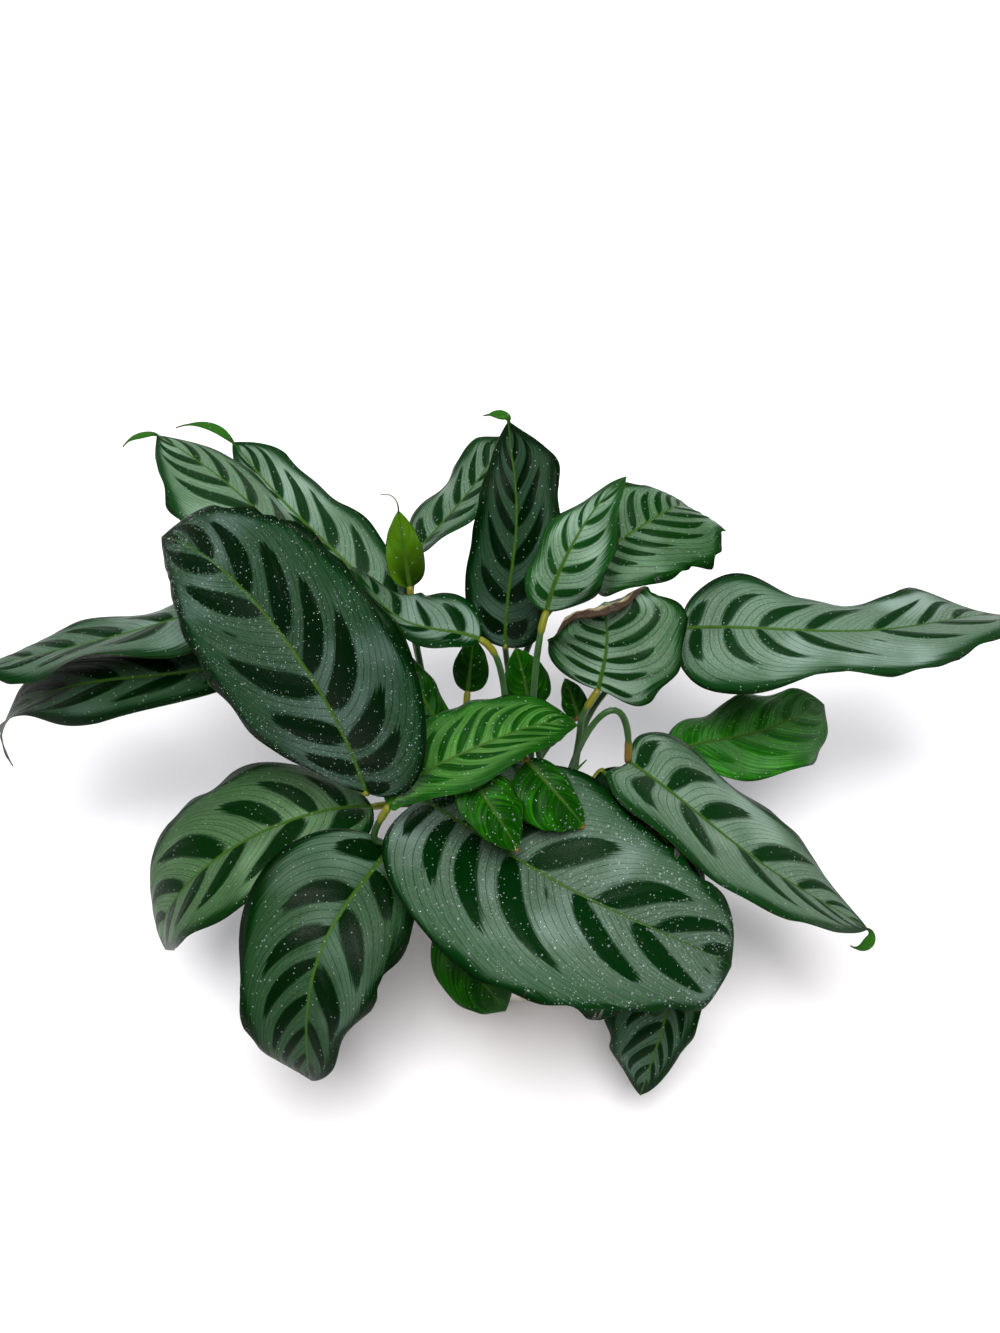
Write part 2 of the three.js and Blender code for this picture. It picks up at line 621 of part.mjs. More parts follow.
function sheath(extra) {
  const foot = new THREE.Vector3(...SHEATH.foot, SOIL_LEVEL)
  const top = new THREE.Vector3(...SHEATH.top)
  const path = new THREE.CurvePath()
  const up = new THREE.Vector3(0, 0, 1)
  path.add(new THREE.LineCurve3(foot.clone().addScaledVector(up, -STALK_BURIED - extra), foot))
  path.add(new THREE.QuadraticBezierCurve3(foot, foot.clone().addScaledVector(up, SHEATH.lift), top))
  return rod(path, STALK_RINGS, (share) => SHEATH.radius * (1 - 0.85 * share ** 3) + extra)
}

function stalk(leaf, course, extra) {
  return rod(stalkCourse(leaf, course, extra), STALK_RINGS, (share) => {
    const body = lerp(STALK_FOOT_RADIUS, STALK_RADIUS, smoothstep(share, 0, 0.5))
    return lerp(body, STALK_JOINT_RADIUS, smoothstep(share, 1 - STALK_JOINT_SHARE, 1)) + extra
  })
}

// The whole plant

function plant() {
  const group = new THREE.Group()
  const cutters = [solid(sheath(HOLE_CLEARANCE))]
  const pieces = [named('young_leaf_sheath', sheath(0), sheathMaterial())]
  LEAVES.forEach((leaf, i) => {
    const name = `leaf_${String(i + 1).padStart(2, '0')}`
    const course = midribCourse(leaf)
    const surface = leaf.length < 2 * SMALL_LEAF ? youngLeafMaterial() : leafMaterial()
    pieces.push(named(`${name}_blade`, blade(leaf, course), surface))
    pieces.push(named(`${name}_stalk`, stalk(leaf, course, 0), stalkMaterial()))
    cutters.push(solid(stalk(leaf, course, HOLE_CLEARANCE)))
  })
  group.add(named('pot', pot(), potMaterial()))
  group.add(named('soil', soil(cutters), soilMaterial()))
  group.add(...pieces)
  return group
}

export default plant()
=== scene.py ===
"""A peacock plant in a plain round pot: its blades, stalks, rolled young leaf, soil, pot and water drops."""

import math

import bmesh
import bpy
import numpy as np
from bpy.props import FloatProperty, FloatVectorProperty, IntProperty, PointerProperty
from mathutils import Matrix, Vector, noise


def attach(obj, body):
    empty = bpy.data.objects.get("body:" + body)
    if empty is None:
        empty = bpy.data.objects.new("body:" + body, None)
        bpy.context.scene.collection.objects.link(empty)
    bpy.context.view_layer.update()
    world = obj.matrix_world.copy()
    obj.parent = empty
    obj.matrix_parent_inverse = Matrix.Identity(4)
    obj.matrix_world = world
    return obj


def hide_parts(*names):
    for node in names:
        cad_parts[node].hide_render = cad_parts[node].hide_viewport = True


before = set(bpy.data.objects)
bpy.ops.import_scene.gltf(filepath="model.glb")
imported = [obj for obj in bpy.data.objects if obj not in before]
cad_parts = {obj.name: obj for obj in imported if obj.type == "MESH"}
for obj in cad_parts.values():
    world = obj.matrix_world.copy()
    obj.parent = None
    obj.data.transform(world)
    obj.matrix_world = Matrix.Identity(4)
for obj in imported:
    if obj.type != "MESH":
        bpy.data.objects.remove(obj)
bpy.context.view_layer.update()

bl_info = {
    "name": "Potted Peacock Plant",
    "version": (1, 0, 0),
    "blender": (4, 5, 0),
    "location": "3D View > Sidebar > Plant",
    "description": "Builds a potted peacock plant, leaf by leaf, over its solid model",
    "category": "Add Mesh",
}

MM = 0.001

# Sizes that the plant shares with its solid model, in millimetres. The drip tips are a little wider here.
POT_HEIGHT = 105
POT_RIM_RADIUS = 62
POT_FOOT_RADIUS = 44
POT_WALL = 4.5
POT_FLOOR = 6
RIM_BAND_HEIGHT = 16
RIM_BAND_OUT = 2
EDGE_ROUNDING = 1.5
DRAIN_HOLES = 4
DRAIN_HOLE_RADIUS = 4
DRAIN_CIRCLE_RADIUS = 24
SOIL_LEVEL = 92
SOIL_DOME = 2
SOIL_RELIEF = 1.2
SOIL_GAP = 0.4
MIDRIB_DEPTH = 0.9
MIDRIB_GROOVE = 0.45
BASE_HALF_WIDTH = 2.4
TIP_HALF_WIDTH = 0.4
MARGIN_CURL = math.radians(-30)
LOBE_SPREAD = 0.09
EAR_ROOT = 0.55
EAR_LENGTH = 0.3
DRIP_TIP_NECK = 1
DRIP_TIP_HALF_WIDTH = 3.2
COURSE_STEPS = 160
SMALL_LEAF = 60
STALK_FOOT_RADIUS = 2.3
STALK_RADIUS = 1.7
STALK_JOINT_RADIUS = 2
STALK_BURIED = 12
SHEATH = {"foot": (2, 8), "top": (38, 32, 160), "lift": 40, "radius": 2.4}

# How finely each piece is made, and where its random draws start
TOP_COLUMNS = 41
BLADE_ROWS, SMALL_BLADE_ROWS, DRIP_TIP_ROWS = 110, 56, 30
STALK_SIDES, STALK_RINGS = 18, 72
ROLL_SIDES, ROLL_RINGS = 36, 90
POT_SIDES, SOIL_SIDES, SOIL_RINGS = 128, 150, 45
BLADE_SEED, DROP_SEED, SOIL_SEED = 100, 50, 7

# The blades that carry standing drops: how often one drop is doubled there, and its size beside the usual one
WET_BLADES = {1: (12, 0.45), 2: (11, 0.85), 17: (9, 0.5), 26: (6, 0.9), 27: (6, 0.9)}
STALK_CLEARANCE = 4.6  # of the loose bits from a stalk's middle, in millimetres
FINE_VEINS = 8.6  # millimetres of midrib to two fine veins

# The camera at the photo's angle, in metres, degrees from straight down, and pixels of a 1000 x 1333 picture
CAMERA_PLACE = (-0.0094, -0.3659, 0.8173)
CAMERA_TILT = 35
FOCAL_LENGTH, PICTURE_HEIGHT, SENSOR = 1400, 1333, 36


class Leaf:
    """A leaf's own dimensions, over those that most leaves share."""

    full, waves, fold = 3, 2.2, 14
    tip = tip_turn = tip_curl = tip_drop = 0
    hook = hook_from = 0
    lobes, ears = (), (0, 0)
    marks, fat = ((20, 40, 60, 80), (20, 40, 60, 80)), 0.29
    painted_shade = dry = 0
    lean = splay = side = 0

    def __init__(self, **dimensions):
        self.__dict__.update(dimensions)


# base: where the blade meets its stalk. heading: the way the midrib points there, from +X towards +Y, with turn
# and sway added along it. rise: its climb there, less sag by the tip. length: along the midrib. halves: out to the
# left and right margins. roll: the tilt about the midrib, base and tip. fold: how far the halves stand up.
# full: how late the blade narrows to its tip. wave: the ripple of the left and right margins, in so many waves,
# each from its phase. tip: the share of the length that is a drawn-out drip tip, with its own turn, curl and drop.
# hook: how far the end rolls up, from hook_from. ears: how far the halves reach back past the base.
# lobes: where a margin stands out or in by some millimetres, by side (left -1, right 1) and place in hundredths.
# marks: places of the ovals on the left and right half, in hundredths. A minus makes a small oval, which lies as
# far out as the decimals say. fat: half the ovals' width, of the space between two.
# look: how young, light and warm the green is. The lightness is partly the leaf's own tone and partly painted light
# and shade: lower for a leaf that stands in shade, higher for one in full light. Then the painted shade that
# darkens one half near the base, where the blade rolls; a minus lightens it. dry: a dry tip.
# foot: the stalk on the soil, with the way it leaves the soil (lift, splay) and comes in to the base (reach, lean
# against the midrib, side).
LEAVES = (
    Leaf(
        base=(-75, -21, 216), heading=121, turn=21, sway=2, rise=73, sag=105,
        length=193, halves=(50, 57), roll=(56, 20), fold=18, full=3.1, wave=(2.7, 3.3), phase=(280, 110),
        lobes=((1, 55, -3), (1, 75, -3), (-1, 20, -3)),
        marks=((9, 19, 34, -46.45, 57, 76), (3, 10, 16, 28, 38, 49, 64)), fat=0.35, look=(0, -0.6, 0),
        foot=(-6, -5), lift=80, reach=80, lean=60,
    ),
    Leaf(
        base=(-50, -2, 176), heading=-43, turn=36, sway=-4, rise=22, sag=67,
        length=196, halves=(58, 69), roll=(6, -22), fold=25, full=3.2, wave=(4.5, 3), waves=2, phase=(200, 100),
        lobes=((-1, 94, 10), (1, 94, 11), (-1, 78, 1), (1, 45, 3)),
        marks=((6, 17, 27, 38, 60, 75), (5, 13, 21, 33, -42.15, 51, 69, -84.3)), fat=0.32, look=(0, -0.12, 0),
        foot=(-8, -18), lift=45, reach=20, lean=60,
    ),
    Leaf(
        base=(-65, -28, 174), heading=-113, turn=7, sway=-11, rise=26, sag=119,
        length=156, halves=(39, 47), roll=(18, -4), full=2.9, wave=(2.7, 2.6), phase=(30, 210),
        lobes=((-1, 75, -5), (1, 88, 3)), marks=((5, 14, 31, 52, 70), (8, 25, 38, 48, 60, 71)),
        look=(0, -0.6, 0.15), painted_shade=-0.15, foot=(-22, -11), lift=15, reach=20, lean=20,
    ),
    Leaf(
        base=(-78, 2, 161), heading=-164, turn=15, sway=2, rise=29, sag=119,
        length=179, halves=(38, 49), roll=(-16, 4), wave=(3.6, 2.7), waves=2.3, phase=(220, 210),
        lobes=((1, 55, 5), (1, 72, 3)), marks=((8, 24, 42, 55, 72), (9, 18, 29, 49, 66, 80)), look=(0, -0.12, 0.45),
        foot=(-23, -1), lift=15, reach=60, lean=-20, splay=20,
    ),
    Leaf(
        base=(-144, 89, 231), heading=-163, turn=-21, sway=2, rise=-5, sag=19,
        length=160, halves=(34, 32), roll=(-25, -27), fold=13, wave=(7.9, 5), waves=1.7, phase=(160, 60),
        lobes=((1, 82, 6), (1, 30, -3)), marks=((10, 30, 50, 68, 84), (12, 27, 46, 62, 78)), look=(0, -0.2, 0),
        foot=(-20, 7), lift=80, reach=80, lean=60, splay=10,
    ),
    Leaf(
        base=(-139, 77, 197), heading=-137, turn=-99, sway=-15, rise=21, sag=104,
        length=238, halves=(25, 26), roll=(-2, 6), fold=16, full=2.8, wave=(6, 4.4), waves=1.7, phase=(10, 60),
        tip=0.16, tip_turn=60, tip_curl=-15, tip_drop=10, lobes=((-1, 62, -5), (-1, 40, 2)),
        marks=((8, 20, 34, 48, 60), (8, 22, 36, 50, 62)), look=(0, -0.62, 0.1),
        foot=(-13, 11), lift=80, reach=80, lean=20,
    ),
    Leaf(
        base=(-90, 83, 220), heading=129, turn=9, sway=-2, rise=15, sag=28,
        length=200, halves=(49, 40), roll=(-50, -7), fold=2, wave=(3, 3), waves=2.1, phase=(240, 300),
        tip=0.12, tip_turn=20, tip_curl=95, tip_drop=-10, lobes=((1, 78, 4),),
        marks=((8, 20, 32, 44, 56, 68), (8, 21, 33, 46, 58, 70)), look=(0, 0.3, 0.2),
        foot=(-10, 21), lift=100, reach=60, lean=60,
    ),
    Leaf(
        base=(-67, 112, 180), heading=132, turn=-4, sway=6, rise=24, sag=41,
        length=203, halves=(24, 32), roll=(-5, 6), fold=19, full=3.1, wave=(3.1, 3.7), phase=(100, 230),
        tip=0.2, tip_turn=-5, tip_curl=90, tip_drop=-20, lobes=((1, 69, 4), (1, 38, -4), (1, 20, -4)),
        marks=((8, 18, 29, 40, 52, 64), (7, 17, 29, 40, 52, 64)), look=(0, 0.2, 0.1),
        foot=(-25, 13), lift=45, reach=80, lean=60, splay=10,
    ),
    Leaf(
        base=(-60, 121, 200), heading=104, turn=-4, sway=1, rise=63, sag=20,
        length=44, halves=(12, 12), roll=(0, 0), wave=(1.2, 1.2), phase=(130, 30),
        look=(0.9, -0.3, 0.97), painted_shade=0.6, foot=(-29, 9), lift=75, reach=75, lean=5, splay=15, side=-10,
    ),
    Leaf(
        base=(-57, 150, 195), heading=45, turn=-4, sway=-5, rise=28, sag=-6,
        length=85, halves=(29, 26), roll=(36, 13), fold=22, full=3.1, wave=(4.2, 3.2), waves=1.6, phase=(350, 0),
        lobes=((-1, 86, 5), (-1, 10, 4)), marks=((10, 25, 44, 60, 75), (12, 30, 48, 64, 80)), look=(0, 0.15, 0.1),
        foot=(-19, 27), lift=30, reach=80, lean=40, splay=15,
    ),
    Leaf(
        base=(-6, 91, 184), heading=94, turn=-12, sway=-13, rise=66, sag=53,
        length=144, halves=(28, 33), roll=(20, 11), fold=27, full=2.9, wave=(2.5, 2.7), phase=(340, 120),
        tip=0.11, tip_turn=60, tip_curl=60, tip_drop=10, lobes=((1, 72, 8), (-1, 30, 2)),
        marks=((8, 20, 33, 46, 58, 70), (8, 22, 36, 50, 62, 74)), look=(0, -0.68, 0),
        foot=(6, 37), lift=20, reach=70, lean=80, splay=20,
    ),
    Leaf(
        base=(15, 80, 231), heading=67, turn=-32, sway=-3, rise=63, sag=47,
        length=84, halves=(21, 26), roll=(-25, 31), fold=6, full=2.9, wave=(2.4, 2), waves=2.1, phase=(70, 210),
        lobes=((-1, 30, -2),), marks=((10, 26, 42, 58, 74), (14, 30, 46, 62, 78)), fat=0.22, look=(0.15, 0.45, 0.1),
        foot=(9, -20), lift=12, reach=36, lean=-38, splay=6,
    ),
    Leaf(
        base=(39, 128, 202), heading=30, turn=11, sway=-10, rise=64, sag=120,
        length=93, halves=(41, 45), roll=(19, -4), fold=15, full=3.3, wave=(3.5, 4.6), waves=1.5, phase=(80, 340),
        lobes=((1, 62, 7), (1, 82, 7), (-1, 70, -3)),
        marks=((10, 20, 31, 42, 52, 62, 72), (5, 13, 20, 27, 34, 43, 53, 64, 75)), look=(0.15, -0.1, 0.25),
        foot=(5, 21), lift=60, reach=80, lean=-40,
    ),
    Leaf(
        base=(43, 52, 199), heading=73, turn=43, sway=-9, rise=52, sag=2,
        length=61, halves=(35, 45), roll=(0, 1), fold=15, full=3.1, wave=(1.5, 1.5), phase=(350, 330),
        hook=150, hook_from=0.7, ears=(0, 7), lobes=((1, 60, 7), (1, 18, -6)),
        marks=((5, 15, 27, 39, 52, 64), (6, 16, 28, 41, 56, 70)), fat=0.25, look=(0.1, 0.1, 0.15),
        foot=(22, 22), lift=115, reach=35, lean=-15, splay=20, side=-25,
    ),
    Leaf(
        base=(91, 99, 190), heading=-10, turn=37, sway=-8, rise=20, sag=53,
        length=208, halves=(42, 48), roll=(-2, 28), fold=15, full=2.2, wave=(9, 5.5), waves=1.5, phase=(40, 240),
        ears=(3, 5),
        lobes=(
            (-1, 12, 4), (-1, 29, -6), (-1, 50, -3), (-1, 79, 10),
            (1, 8, 6), (1, 22, 4), (1, 38, -4), (1, 54, 2), (1, 87, 8),
        ),
        marks=((4, 12, 22, 34, 53, 66, 79), (5, 13, 21, 31, -44.3, 53, 72)), fat=0.23, look=(0, 0.27, 0),
        foot=(29, 25), lift=80, reach=105, lean=30, splay=10, side=15,
    ),
    Leaf(
        base=(86, 48, 142), heading=20, turn=16, sway=-9, rise=3, sag=36,
        length=121, halves=(31, 37), roll=(26, -19), full=3.1, wave=(2.6, 2.6), waves=2.3, phase=(20, 30),
        lobes=((-1, 25, -4), (-1, 88, 4), (1, 85, 2)), marks=((12, 30, 48, 66, 82), (14, 32, 50, 68, 84)),
        look=(0.8, 0.55, 0.5), foot=(30, 14), lift=30, reach=45, lean=40, splay=10,
    ),
    Leaf(
        base=(57, 11, 193), heading=-25, turn=7, sway=-7, rise=-23, sag=16,
        length=191, halves=(45, 38), roll=(21, 15), fold=16, full=3.1, wave=(4.4, 3.1), waves=2, phase=(40, 330),
        tip=0.11, tip_turn=-40, tip_curl=-190, ears=(6, 14),
        lobes=((-1, 8, 5), (-1, 68, 3), (1, 47, -5), (1, 6, 8)),
        marks=((4, 14, 26, 46, 62, 72), (8, 20, 41, 56, 68)), fat=0.23, look=(0, 0.2, 0.1),
        foot=(22, 10), lift=150, reach=55, lean=-30, side=-70,
    ),
    Leaf(
        base=(48, 37, 140), heading=-48, turn=-5, sway=2, rise=-2, sag=44,
        length=101, halves=(23, 30), roll=(8, 9), fold=12, full=3.1, wave=(2.1, 2.4), phase=(300, 70),
        marks=((12, 30, 48, 66), (14, 32, 50, 68)), look=(0.2, -0.85, 0.1),
        foot=(28, 4), lift=45, reach=10, lean=60, splay=10,
    ),
    Leaf(
        base=(93, -43, 122), heading=-103, turn=-14, sway=0, rise=-16, sag=58,
        length=113, halves=(20, 34), roll=(9, 9), fold=13, wave=(2.6, 2.3), phase=(60, 330),
        lobes=((1, 76, 4), (1, 55, 3)), marks=((10, 24, 38, 52, 64, 76), (12, 26, 40, 54, 66, 78)),
        look=(0, -0.42, 0), foot=(22, -4), lift=80, reach=45, lean=-40,
    ),
    Leaf(
        base=(-26, -43, 130), heading=-84, turn=49, sway=-16, rise=-16, sag=48,
        length=66, halves=(24, 23), roll=(-6, -27), fold=16, full=3.1, wave=(1.8, 1.7), phase=(170, 110),
        marks=((15, 35, 55, 75), (15, 35, 55, 75)), look=(0.9, -0.33, 0.6),
        foot=(-14, -10), lift=15, reach=10, lean=60,
    ),
    Leaf(
        base=(-64, -28, 215), heading=44, turn=-39, sway=-12, rise=40, sag=72,
        length=111, halves=(32, 28), roll=(26, 2), fold=21, full=3.1, wave=(3.7, 3.2), waves=2.1,
        phase=(200, 350),
        lobes=((-1, 58, 5), (1, 5, -6)),
        marks=((12, 22, 31, 40, 48, 57, 66, 75, 84), (10, 20, 30, 40, 50, 60, 70, 80)), look=(0.45, 0.3, 0.8),
        foot=(6, -1), lift=125, reach=70, lean=20, splay=20, side=-20,
    ),
    Leaf(
        base=(-20, 67, 224), heading=168, turn=-29, sway=22, rise=22, sag=21,
        length=86, halves=(13, 30), roll=(9, -47), fold=15, full=2.9, wave=(2.3, 2.6), phase=(0, 10),
        marks=((15, 35, 58, 78), (13, 33, 55, 75)), fat=0.22, look=(0, -0.2, 0.05),
        foot=(-1, 21), lift=105, reach=20, lean=5, splay=10,
    ),
    Leaf(
        base=(-28, 84, 150), heading=78, turn=2, sway=-1, rise=59, sag=10,
        length=33, halves=(11, 12), roll=(0, 0), wave=(1, 1), phase=(130, 30), look=(1, -0.55, 0.3),
        foot=(-5, 35), lift=15, reach=30, lean=-20, splay=10,
    ),
    Leaf(
        base=(7, 62, 164), heading=111, turn=2, sway=-1, rise=72, sag=30,
        length=39, halves=(14, 16), roll=(3, 1), wave=(1.1, 1.1), phase=(350, 300), look=(1, -0.4, 0.7),
        foot=(12, 26), lift=15, reach=80, lean=-20, splay=20,
    ),
    Leaf(
        base=(35, 67, 149), heading=116, turn=2, sway=0, rise=54, sag=20,
        length=24, halves=(8, 9), roll=(1, 1), wave=(0.8, 0.8), phase=(340, 260), look=(1, -0.45, 0.4),
        foot=(-4, 29), lift=35, reach=25, lean=70, splay=10, side=20,
    ),
    Leaf(
        base=(-25, -19, 231), heading=-55, turn=5, sway=-1, rise=-1, sag=50,
        length=46, halves=(16, 16), roll=(-1, 3), wave=(1.3, 1.2), phase=(190, 50), lobes=((-1, 60, 3),),
        look=(0.95, -0.18, 0.4), dry=1, foot=(-10, 4), lift=45, reach=80, lean=20,
    ),
    Leaf(
        base=(4, -7, 223), heading=-46, turn=9, sway=-3, rise=-6, sag=46,
        length=45, halves=(11, 24), roll=(0, -12), wave=(1.1, 1.2), phase=(130, 260), look=(1, -0.25, 0.8), dry=1,
        foot=(-5, 16), lift=70, reach=65, lean=45, splay=5, side=-25,
    ),
    Leaf(
        base=(-39, 35, 180), heading=132, turn=-13, sway=3, rise=49, sag=21,
        length=55, halves=(14, 12), roll=(-2, -10), fold=11, wave=(1.5, 1.6), phase=(330, 0),
        look=(0.7, -0.4, 0.2), foot=(-29, -8), lift=100, reach=45, lean=40, splay=10,
    ),
)


# The form of a leaf


def mix(a, b, share):
    """From a to b by a share."""
    return a + (b - a) * share


def ease(share):
    """The share again, but leaving 0 and reaching 1 gently."""
    share = np.clip(share, 0, 1)
    return share * share * (3 - 2 * share)


def unit(vectors):
    return vectors / np.linalg.norm(vectors, axis=-1, keepdims=True)


def direction(yaw, pitch):
    """The way that a yaw and a pitch in radians point."""
    flat = np.cos(pitch)
    return np.stack([np.cos(yaw) * flat, np.sin(yaw) * flat, np.sin(pitch) + 0 * yaw], -1)


def by_half(pair, right):
    """The left or the right value of a pair, for each point."""
    return np.where(right, pair[1], pair[0])


def into_tip(leaf, share):
    """How far into the drip tip each share of the length is."""
    return np.clip((share - 1 + leaf.tip) / leaf.tip, 0, 1) if leaf.tip else 0 * share


def aim(leaf, share):
    """The yaw and pitch of the midrib, in radians, at each share of its length."""
    in_tip = into_tip(leaf, share)
    kick = ease(in_tip / 0.25)
    rolled = np.clip((share - leaf.hook_from) / (1 - leaf.hook_from), 0, 1)
    yaw = leaf.heading + leaf.turn * share + leaf.sway * np.sin(2 * np.pi * share)
    yaw = yaw + leaf.tip_turn * kick + leaf.tip_curl * in_tip
    pitch = leaf.rise - leaf.sag * share - leaf.tip_drop * kick
    return np.radians(yaw), np.radians(pitch + leaf.hook * rolled)


def midrib_course(leaf):
    """Points along the midrib, from the base to the tip."""
    middles = (np.arange(COURSE_STEPS) + 0.5) / COURSE_STEPS
    steps = direction(*aim(leaf, middles)) * leaf.length / COURSE_STEPS
    return np.vstack([[leaf.base], leaf.base + np.cumsum(steps, 0)])


def midrib_frame(leaf, course, share):
    """The midrib's point, the blade's flat side and its upward side, at each share."""
    places = np.linspace(0, 1, COURSE_STEPS + 1)
    centre = np.stack([np.interp(share, places, course[:, i]) for i in range(3)], -1)
    yaw, pitch = aim(leaf, share)
    flat_side = np.stack([np.sin(yaw), -np.cos(yaw), 0 * yaw], -1)
    flat_up = np.cross(flat_side, direction(yaw, pitch))
    roll = np.radians(mix(*leaf.roll, share))[:, None]
    side = flat_side * np.cos(roll) + flat_up * np.sin(roll)
    up = flat_up * np.cos(roll) - flat_side * np.sin(roll)
    return centre, side, up


def half_width(leaf, share, right):
    """How far the blade reaches from its midrib to its left or right margin, at each share."""
    body = np.clip(share / (1 - leaf.tip), 0, 1)
    width = by_half(leaf.halves, right) * np.sqrt(1 - (1 - body) ** 6)
    width = width * (1 - body**leaf.full) ** 0.9
    for side, place, more in leaf.lobes:
        apart = (share - place / 100) / LOBE_SPREAD
        ends = (1 - body**30) * (1 - (1 - body) ** 30)
        width = width + np.where(right == (side > 0), more * np.exp(-(apart**2)) * ends, 0)
    if leaf.tip:
        in_tip = into_tip(leaf, share)
        swell = np.sin(np.pi * np.minimum(1.25 * in_tip, 1))
        lens = mix(DRIP_TIP_NECK, DRIP_TIP_HALF_WIDTH, swell) * (1 - in_tip**6)
        width = np.where(in_tip > 0, lens, np.maximum(width, DRIP_TIP_NECK))
    return np.maximum(width, mix(BASE_HALF_WIDTH, TIP_HALF_WIDTH, share))


def blade_points(leaf, course, share, across):
    """Points of the blade's middle surface. across goes from -1 at the left margin to 1 at the right."""
    centre, side, up = midrib_frame(leaf, course, share)
    right = across > 0
    out = np.abs(across)
    width = half_width(leaf, share, right)
    fold = math.radians(leaf.fold)
    reach = width * (np.sin(fold + MARGIN_CURL * out) - math.sin(fold)) / MARGIN_CURL
    lift = width * (math.cos(fold) - np.cos(fold + MARGIN_CURL * out)) / MARGIN_CURL
    calm = np.sin(np.pi * np.clip(share / (1 - leaf.tip), 0, 1)) ** 0.6
    phase = np.radians(by_half(leaf.phase, right))
    ripple = by_half(leaf.wave, right) * out**2 * np.sin(2 * np.pi * leaf.waves * share + phase) * calm
    beside = ease(out * width / (EAR_ROOT * by_half(leaf.halves, right)))
    back = by_half(leaf.ears, right) * beside * (1 - ease(share / EAR_LENGTH))
    spread = side * (np.sign(across) * reach)[:, None] + up * (lift + ripple)[:, None]
    return centre + spread - direction(*aim(leaf, share)) * back[:, None]


def blade_normals(leaf, course, share, across):
    """Which way the blade's upper side looks at each point."""
    ahead = blade_points(leaf, course, np.minimum(share + 0.004, 1), across)
    behind = blade_points(leaf, course, np.maximum(share - 0.004, 0), across)
    right = blade_points(leaf, course, share, np.minimum(across + 0.02, 1))
    left = blade_points(leaf, course, share, np.maximum(across - 0.02, -1))
    return unit(np.cross(right - left, ahead - behind))


# Marks on a leaf: where its side veins and dark ovals lie


def vein_place(share, out):
    """Where along the midrib, as a share of it, the side vein through a point leaves it."""
    forward = 0.5 * out + 0.5 * out**3
    return share * (1 - forward * (0.97 - 0.2 * share - 0.4 * share**2))


def mark_place(leaf, share, across):
    """A count along the veins in which each dark oval has its middle on a whole number, and its length there."""
    place = 100 * vein_place(share, np.abs(across))
    counts, lengths = [], []
    for half in leaf.marks:
        spots = np.abs(half)
        steps = np.arange(len(half))
        before = (place - spots[0]) / (spots[1] - spots[0])
        after = steps[-1] + (place - spots[-1]) / (spots[-1] - spots[-2])
        count = np.interp(place, spots, steps)
        counts.append(np.where(place < spots[0], before, np.where(place > spots[-1], after, count)))
        near = np.clip(np.rint(counts[-1]).astype(int), 0, steps[-1])
        lengths.append(np.where(np.array(half)[near] < 0, spots[near] % 1, 0.0))
    side = np.clip(across / 0.02, -1, 1) / 2 + 0.5
    return mix(*counts, side), by_half(lengths, across > 0)


# Pieces and their finishing


def new_piece(name, bm, nodes, slot, *materials):
    """An object of its own from a bmesh, in place, riding on the plant and standing for its solids."""
    for vertex in bm.verts:
        vertex.co *= MM
    mesh = bpy.data.meshes.new(name)
    bm.to_mesh(mesh)
    bm.free()
    piece = bpy.data.objects.new(name, mesh)
    bpy.context.scene.collection.objects.link(piece)
    for material in materials:
        mesh.materials.append(material)
    mesh.shade_smooth()
    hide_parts(*nodes)
    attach(piece, "root")
    return piece


def grid_places(bm):
    """Where each vertex of a two-unit grid lies in it, as shares across and along."""
    places = np.array([vertex.co[:2] for vertex in bm.verts])
    return (places[:, 0] + 1) / 2, (places[:, 1] + 1) / 2


def put(bm, points):
    """Moves each vertex to its point."""
    for vertex, point in zip(bm.verts, points):
        vertex.co = point


def store(bm, **values):
    """Keeps numbers on the vertices, which the materials read by name."""
    for name, numbers in values.items():
        layer = bm.verts.layers.float.new(name)
        for vertex, number in zip(bm.verts, np.broadcast_to(numbers, len(bm.verts))):
            vertex[layer] = number


def close_tube(bm):
    """Joins the first and last columns of a rolled grid and caps its two ends."""
    bmesh.ops.remove_doubles(bm, verts=bm.verts, dist=1e-5)
    bmesh.ops.holes_fill(bm, edges=[edge for edge in bm.edges if edge.is_boundary], sides=0)
    bmesh.ops.recalc_face_normals(bm, faces=bm.faces)


# The leaf blades


def blade_section():
    """Round one cross-section: over the top from left to right, then back underneath."""
    even = np.linspace(-1, 1, TOP_COLUMNS)
    top = np.sign(even) * np.abs(even) ** 1.35
    under = top[-3:1:-2]
    across = np.concatenate([top, under, [-1]])
    facing = np.concatenate([[0], np.ones(TOP_COLUMNS - 2), [0], -np.ones(len(under)), [0]])
    return across, facing


def blade_rows(leaf):
    """Shares of the length for the rows, closer at the base, at the tip and in a drip tip."""
    even = np.linspace(0, 1, 1 + (SMALL_BLADE_ROWS if leaf.length < SMALL_LEAF else BLADE_ROWS))
    shares = (1 - leaf.tip) * (even + (1 - np.cos(np.pi * even)) / 2) / 2
    if not leaf.tip:
        return shares
    return np.concatenate([shares, 1 - leaf.tip + leaf.tip * np.linspace(0, 1, DRIP_TIP_ROWS + 1)[1:]])


